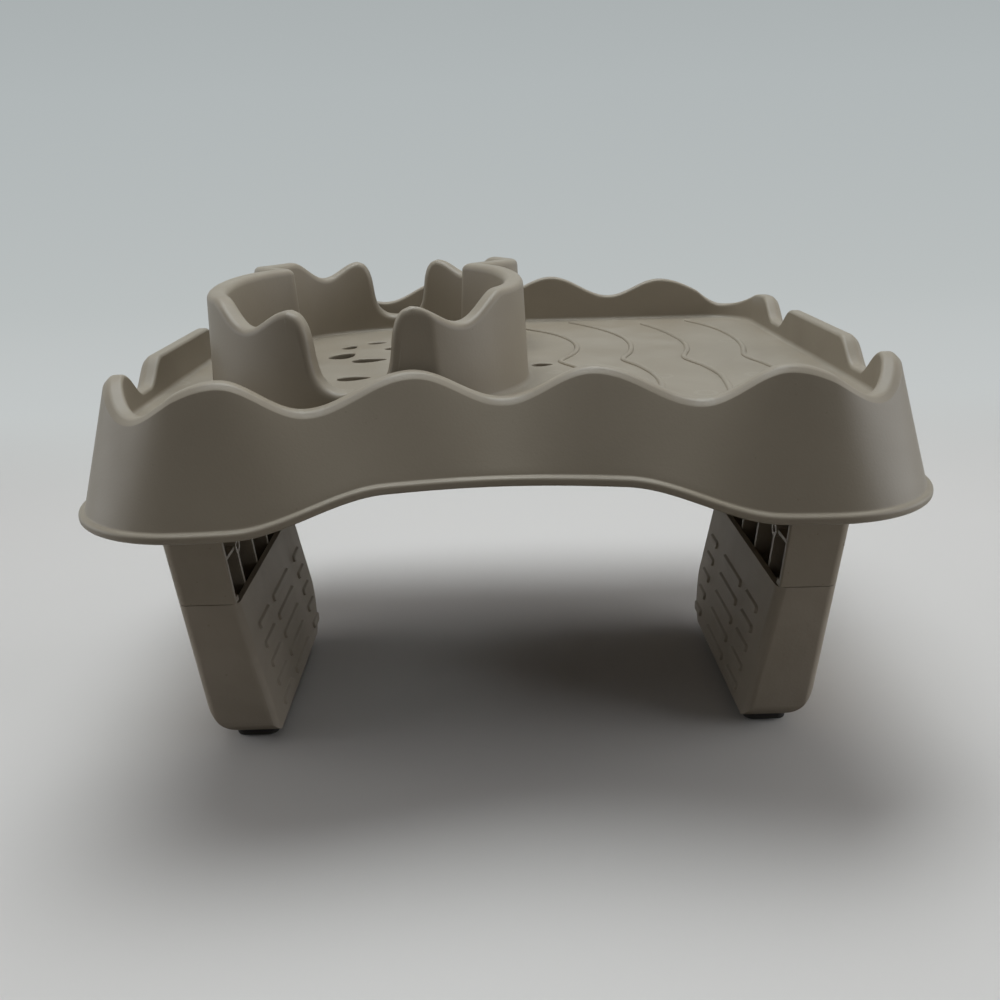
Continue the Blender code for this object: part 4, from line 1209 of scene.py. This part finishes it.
def bootCavity(side):
    # keeps clear of the rounded lower edge
    profile = sideProfile(leg["wall"], boot["cavity"], bootTop)
    cavity = leaningSlab("cavity", side, profile, *cavityFaces(0.0))
    low = boot["bottom"]
    outline = lowerEdge([(lean(leg["bootInner"], low), low)], boot["edgeWall"], boot["cavityIn"])
    carve(cavity, acrossPrism("inside", side, outline), "INTERSECT")
    return cavity


def padSeat(side):
    gap = boot["gap"]
    levels = ((-gap, -1.0), (-gap, boot["padThick"] + gap))
    return loft("seat", boxSections(side, boot["padX"], boot["padY"], boot["padRadius"], levels, 8))


def barOutline(y0, y1, inwards):
    # a bar with round ends, as depth and height
    half, middle, steps = boot["gripHeight"] / 2, boot["gripTop"], boot["gripSteps"]
    radius = half - inwards
    points = []
    for cy, way in ((y1 - half, 1), (y0 + half, -1)):
        for k in range(steps + 1):
            a = math.radians(-90 + 180 * k / steps)
            points.append((cy + way * radius * math.cos(a), middle + way * radius * math.sin(a)))
    return points


def makeGrips(side):
    # rows of three bars down the inner face, kept inside the boot's outline
    levels = list(boot["gripRoot"])
    levels += [(-share * boot["gripProud"], inwards) for share, inwards in boot["gripCrown"]]
    bars = bmesh.new()
    for y0, y1 in boot["bars"]:
        sections = []
        for depth, inwards in levels:
            outline = barOutline(y0, y1, inwards)
            sections.append([(side * (lean(leg["bootInner"], z) + depth), y, z) for y, z in outline])
        closedFaces(bars, sections)
    rows = meshPiece("gripRows", bmesh.new())
    pitch = boot["gripPitch"]
    stride = (-side * leg["bootInner"][1] * pitch, 0, -pitch)
    repeatOn(rows, partsInRow, meshPiece("gripBars", bars), boot["gripRows"], stride, bootPlastic)
    profile = sideProfile(boot["gripEdge"], boot["bottom"], bootTop)
    carve(rows, leaningSlab("gripTrim", side, profile, (nearX, 0.0), (farX, 0.0)), "INTERSECT")
    return rows


def makeBoot(side, name):
    body = planLoft(name, side, leg["bootInner"], leg["outer"], 0.0, leg["seam"], boot["innerCorner"])
    profile = sideProfile(0.0, boot["bottom"], bootTop)
    carve(body, leaningSlab("side", side, profile, (nearX, 0.0), (farX, 0.0)), "INTERSECT")
    low, toe = boot["bottom"], boot["toeEdge"]
    corner = arc(lean(leg["bootInner"], low) + toe, low + toe, toe, toe, 180, 270, 6)
    carve(body, acrossPrism("edge", side, lowerEdge(corner, 0.0, 0.0)), "INTERSECT")
    carve(body, bootCavity(side))
    carve(body, padSeat(side))
    soften(body, boot["softEdge"], 3, 35)
    carve(body, makeGrips(side), "UNION")
    body.data.materials.clear()
    body.data.materials.append(bootPlastic)
    smoothShade(body, 38)
    return body


post = {
    "seamGap": 0.4, "top": 153.5, "plate": 3.5, "wall": 2.5, "step": 3.0, "clear": 0.4, "lift": 2.0,
    "innerCorner": 1.0, "softEdge": 0.5, "coreBottom": 26.0,
    "ribCount": 4, "ribPitch": 28.2, "ribThick": 2.4, "ribRecess": 2.3,
    "ribHold": 0.4,           # ribs reach this far into the walls
    "bossZ": 98.4, "bossShift": 2.5, "bossOuter": 8.5, "bossBore": 4.4, "bossDepth": 16.0, "bossProud": 1.5,
    "boreStart": 1.5,         # the bore is cut from this far in front of the boss
    "webThick": 1.8, "webSetback": 0.7,
    "holePlay": 0.6, "holeBelow": 7.0, "holeLength": 10.5, "rodSides": 40,
}
stepZ = leg["seam"] + post["step"]             # where the core is set in from the post
topZ = post["top"] - post["plate"]             # underside of the top plate
lowZ = post["coreBottom"] + post["wall"]       # inside of the core's bottom
coreInner = cavityFaces(post["clear"])[0]
coreOuter = cavityFaces(post["clear"] + post["wall"])[1]    # inside of the core's outer wall
ribSpread = (post["ribCount"] - 1) / 2 * post["ribPitch"]
screw = {
    "x": pillar["x"], "pitch": pillar["pitch"], "shank": 4.0, "reach": 10.0, "play": 0.3, "neck": 0.3,
    "head": 7.6, "headHeight": 2.4, "headRound": 1.0, "headIn": 0.3, "softEdge": 0.08,
    "tipRadius": 0.5, "tipLength": 0.9,
    "threadPitch": 1.3, "threadDepth": 0.45, "threadFlank": 0.55, "threadRoot": 0.75, "threadEnd": 2.2,
    "blade": [(2.15, -0.5), (2.0, 0.0), (0.9, 1.5)],    # recess: half its length, height over the head's face
    "bladeHalf": 0.38,
}


def rod(name, start, axis, diameter, length):
    bm = bmesh.new()
    middle = Vector(start) + Vector((length / 2, 0, 0) if axis == "x" else (0, 0, length / 2))
    turn = Matrix.Rotation(math.radians(90), 4, "Y") if axis == "x" else Matrix.Identity(4)
    place, radius = Matrix.Translation(middle) @ turn, diameter / 2
    bmesh.ops.create_cone(bm, cap_ends=True, segments=post["rodSides"], radius1=radius, radius2=radius,
                          depth=abs(length), matrix=place)
    return meshPiece(name, bm)


def postCore(side):
    # what goes down into the boot
    profile = sideProfile(leg["wall"] + post["clear"], boot["cavity"] + post["lift"], stepZ + post["clear"])
    core = leaningSlab("core", side, profile, *cavityFaces(post["clear"]))
    low = post["coreBottom"]
    carve(core, acrossPrism("trim", side, [(nearX, 0), (nearX, low), (farX, low), (farX, 0)]))
    return core


def wallInside(z):
    return lean(leg["outer"], z) - post["wall"]


def hollowPost(body, side):
    # the space above and below the step, open to the inside of the legs
    wall = post["wall"]
    edge = leg["halfDepth"] - wall
    coreEdge = leg["halfDepth"] - leg["wall"] - post["clear"] - wall
    upper = [(nearX, stepZ), (wallInside(stepZ), stepZ), (wallInside(topZ), topZ), (nearX, topZ)]
    lower = [
        (nearX, lowZ), (lean(coreOuter, lowZ), lowZ), (lean(coreOuter, stepZ), stepZ),
        (lean(coreOuter, stepZ) - wall, stepZ + wall), (nearX, stepZ + wall),
    ]
    carve(body, acrossPrism("upper", side, upper, -edge, edge))
    carve(body, acrossPrism("lower", side, lower, -coreEdge, coreEdge))


def addRibs(body, side):
    # set back behind the open side
    half, hold, recess, seam = post["ribThick"] / 2, post["ribHold"], post["ribRecess"], leg["seam"]
    rib = [
        (lean(coreInner, lowZ) + recess, lowZ - hold), (lean(coreOuter, lowZ) + hold, lowZ - hold),
        (lean(coreOuter, stepZ) + hold, stepZ), (wallInside(stepZ) + hold, stepZ),
        (wallInside(topZ) + hold, topZ + hold), (lean(leg["postInner"], topZ) + recess, topZ + hold),
        (lean(leg["postInner"], seam) + recess, seam),
    ]
    plate = acrossPrism("rib", side, rib, -ribSpread - half, -ribSpread + half)
    repeatOn(body, rowFused, plate, post["ribCount"], (0, post["ribPitch"], 0), postPlastic)


def addBoss(body, side, way):
    # a bored boss in the first or last bay, held by a web
    z, outer, bore = post["bossZ"], post["bossOuter"], post["bossBore"]
    y = way * (ribSpread + post["bossShift"])
    x0 = lean(leg["postInner"], z) + post["ribRecess"] - post["bossProud"]
    x1 = lean(leg["outer"], z) - post["wall"] / 2
    carve(body, rod("boss", (side * x0, y, z), "x", outer, side * (x1 - x0)), "UNION")
    front, low, high = x0 + post["webSetback"], z - post["webThick"] / 2, z + post["webThick"] / 2
    web = [(front, low), (x1, low), (x1, high), (front, high)]
    ys = sorted((way * (leg["halfDepth"] - post["wall"] / 2), y + way * (outer + bore) / 4))
    carve(body, acrossPrism("web", side, web, *ys), "UNION")
    start = (side * (x0 - post["boreStart"]), y, z)
    carve(body, rod("bore", start, "x", bore, side * post["bossDepth"]))


def makePost(side, name):
    low = leg["seam"] + post["seamGap"]
    body = planLoft(name, side, leg["postInner"], leg["outer"], low, post["top"], post["innerCorner"])
    carve(body, postCore(side), "UNION")
    hollowPost(body, side)
    addRibs(body, side)
    for way in (-1, 1):
        addBoss(body, side, way)
    for k in (-1, 0, 1):
        start = (side * screw["x"], k * screw["pitch"], post["top"] - post["holeBelow"])
        carve(body, rod("hole", start, "z", screw["shank"] + post["holePlay"], post["holeLength"]))
    soften(body, post["softEdge"], 2, 35)
    return body


pad = {
    "chamfer": 0.8, "edge": 0.25,
    "barPitch": 5.6, "barWidth": 3.4, "barCount": 16, "barHeight": 1.2, "barInset": 2.0,
    "barEdge": 0.35, "barRadius": 1.2, "barInto": 0.1,
}


def treadBar(side):
    # the first bar under the pad
    (x0, x1), (y0, y1) = boot["padX"], boot["padY"]
    inset, half, edge = pad["barInset"], pad["barWidth"] / 2, pad["barEdge"]
    first = y0 + (y1 - y0 - (pad["barCount"] - 1) * pad["barPitch"]) / 2
    levels = ((edge, 0.0), (0.0, edge), (0.0, pad["barHeight"] + pad["barInto"]))
    xs, ys = (x0 + inset, x1 - inset), (first - half, first + half)
    return loft("treadBar", boxSections(side, xs, ys, pad["barRadius"], levels, 5))


def makePad(side, name):
    cut, edge, rise = pad["chamfer"], pad["edge"], pad["barHeight"]
    levels = ((cut, rise), (edge, rise + edge), (0.0, rise + cut), (0.0, boot["padThick"]))
    sections = boxSections(side, boot["padX"], boot["padY"], boot["padRadius"], levels, 10)
    body = loft(name, sections, padRubber)
    repeatOn(body, partsInRow, treadBar(side), pad["barCount"], (0, pad["barPitch"], 0), padRubber)
    smoothShade(body, 40)
    return body


def screwProfile():
    # pan head down, with the coarse thread as rings
    reach = post["plate"] + screw["play"] + screw["reach"]
    shank, head, tall = screw["shank"] / 2, screw["head"] / 2, screw["headHeight"]
    root, neck, edge = shank - screw["threadDepth"], shank - screw["neck"], screw["headRound"]
    profile = [(0.0, reach), (screw["tipRadius"], reach)]
    z = reach - screw["tipLength"]
    while z > screw["threadEnd"]:
        profile += [(shank, z), (root, z - screw["threadFlank"]), (root, z - screw["threadRoot"])]
        z -= screw["threadPitch"]
    profile += [(neck, z), (neck, screw["neck"]), (shank, 0.0), (head - screw["headIn"], 0.0)]
    profile += arc(head - edge, -tall + edge, edge, edge, 0, -90, 6)
    return profile + [(0.0, -tall)]


def crossBlade(turn):
    # one of the two slots of the cross recess
    c, s = math.cos(math.radians(turn)), math.sin(math.radians(turn))
    thick = screw["bladeHalf"]
    sections = []
    for half, up in screw["blade"]:
        corners = [(half, thick), (-half, thick), (-half, -thick), (half, -thick)]
        sections.append([(x * c - y * s, x * s + y * c, up - screw["headHeight"]) for x, y in corners])
    return loft("crossBlade", sections)


def makeScrews():
    one = spun("oneScrew", screwProfile(), 36)
    for turn in (0, 90):
        carve(one, crossBlade(turn))
    soften(one, screw["softEdge"], 2, 40)
    made = meshPiece("legScrews", bmesh.new())
    spare = one.copy()
    scene.collection.objects.link(spare)
    for side, part in ((-1, one), (1, spare)):
        start = (side * screw["x"], -screw["pitch"], topZ - screw["play"])
        repeatOn(made, partsInRow, part, pillar["count"], (0, screw["pitch"], 0), screwSteel, start)
    smoothShade(made, 35)
    return made


for side, word in ((-1, "left"), (1, "right")):
    standing = makePost(side, "legPost" + word.title())
    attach(standing, "tray_and_posts")
    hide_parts("leg_post_" + word)
    sleeve = makeBoot(side, "gripBoot" + word.title())
    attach(sleeve, "boot_" + word)
    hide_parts("grip_boot_" + word)
    sole = makePad(side, "footPad" + word.title())
    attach(sole, "boot_" + word)
    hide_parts("foot_pad_" + word)
    faces = [len(piece.data.polygons) for piece in (standing, sleeve, sole)]
    print("%s leg: post %d, boot %d, pad %d faces" % (word, *faces))

screws = makeScrews()
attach(screws, "tray_and_posts")
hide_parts(*["leg_screw_%s_%d" % (word, n) for word in ("left", "right") for n in (1, 2, 3)])
print("screws: %d faces" % len(screws.data.polygons))

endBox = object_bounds()
corners = [[round(v * 1000, 1) for v in corner] for box in (startBox, endBox) for corner in box]
print("box before and after:", corners)
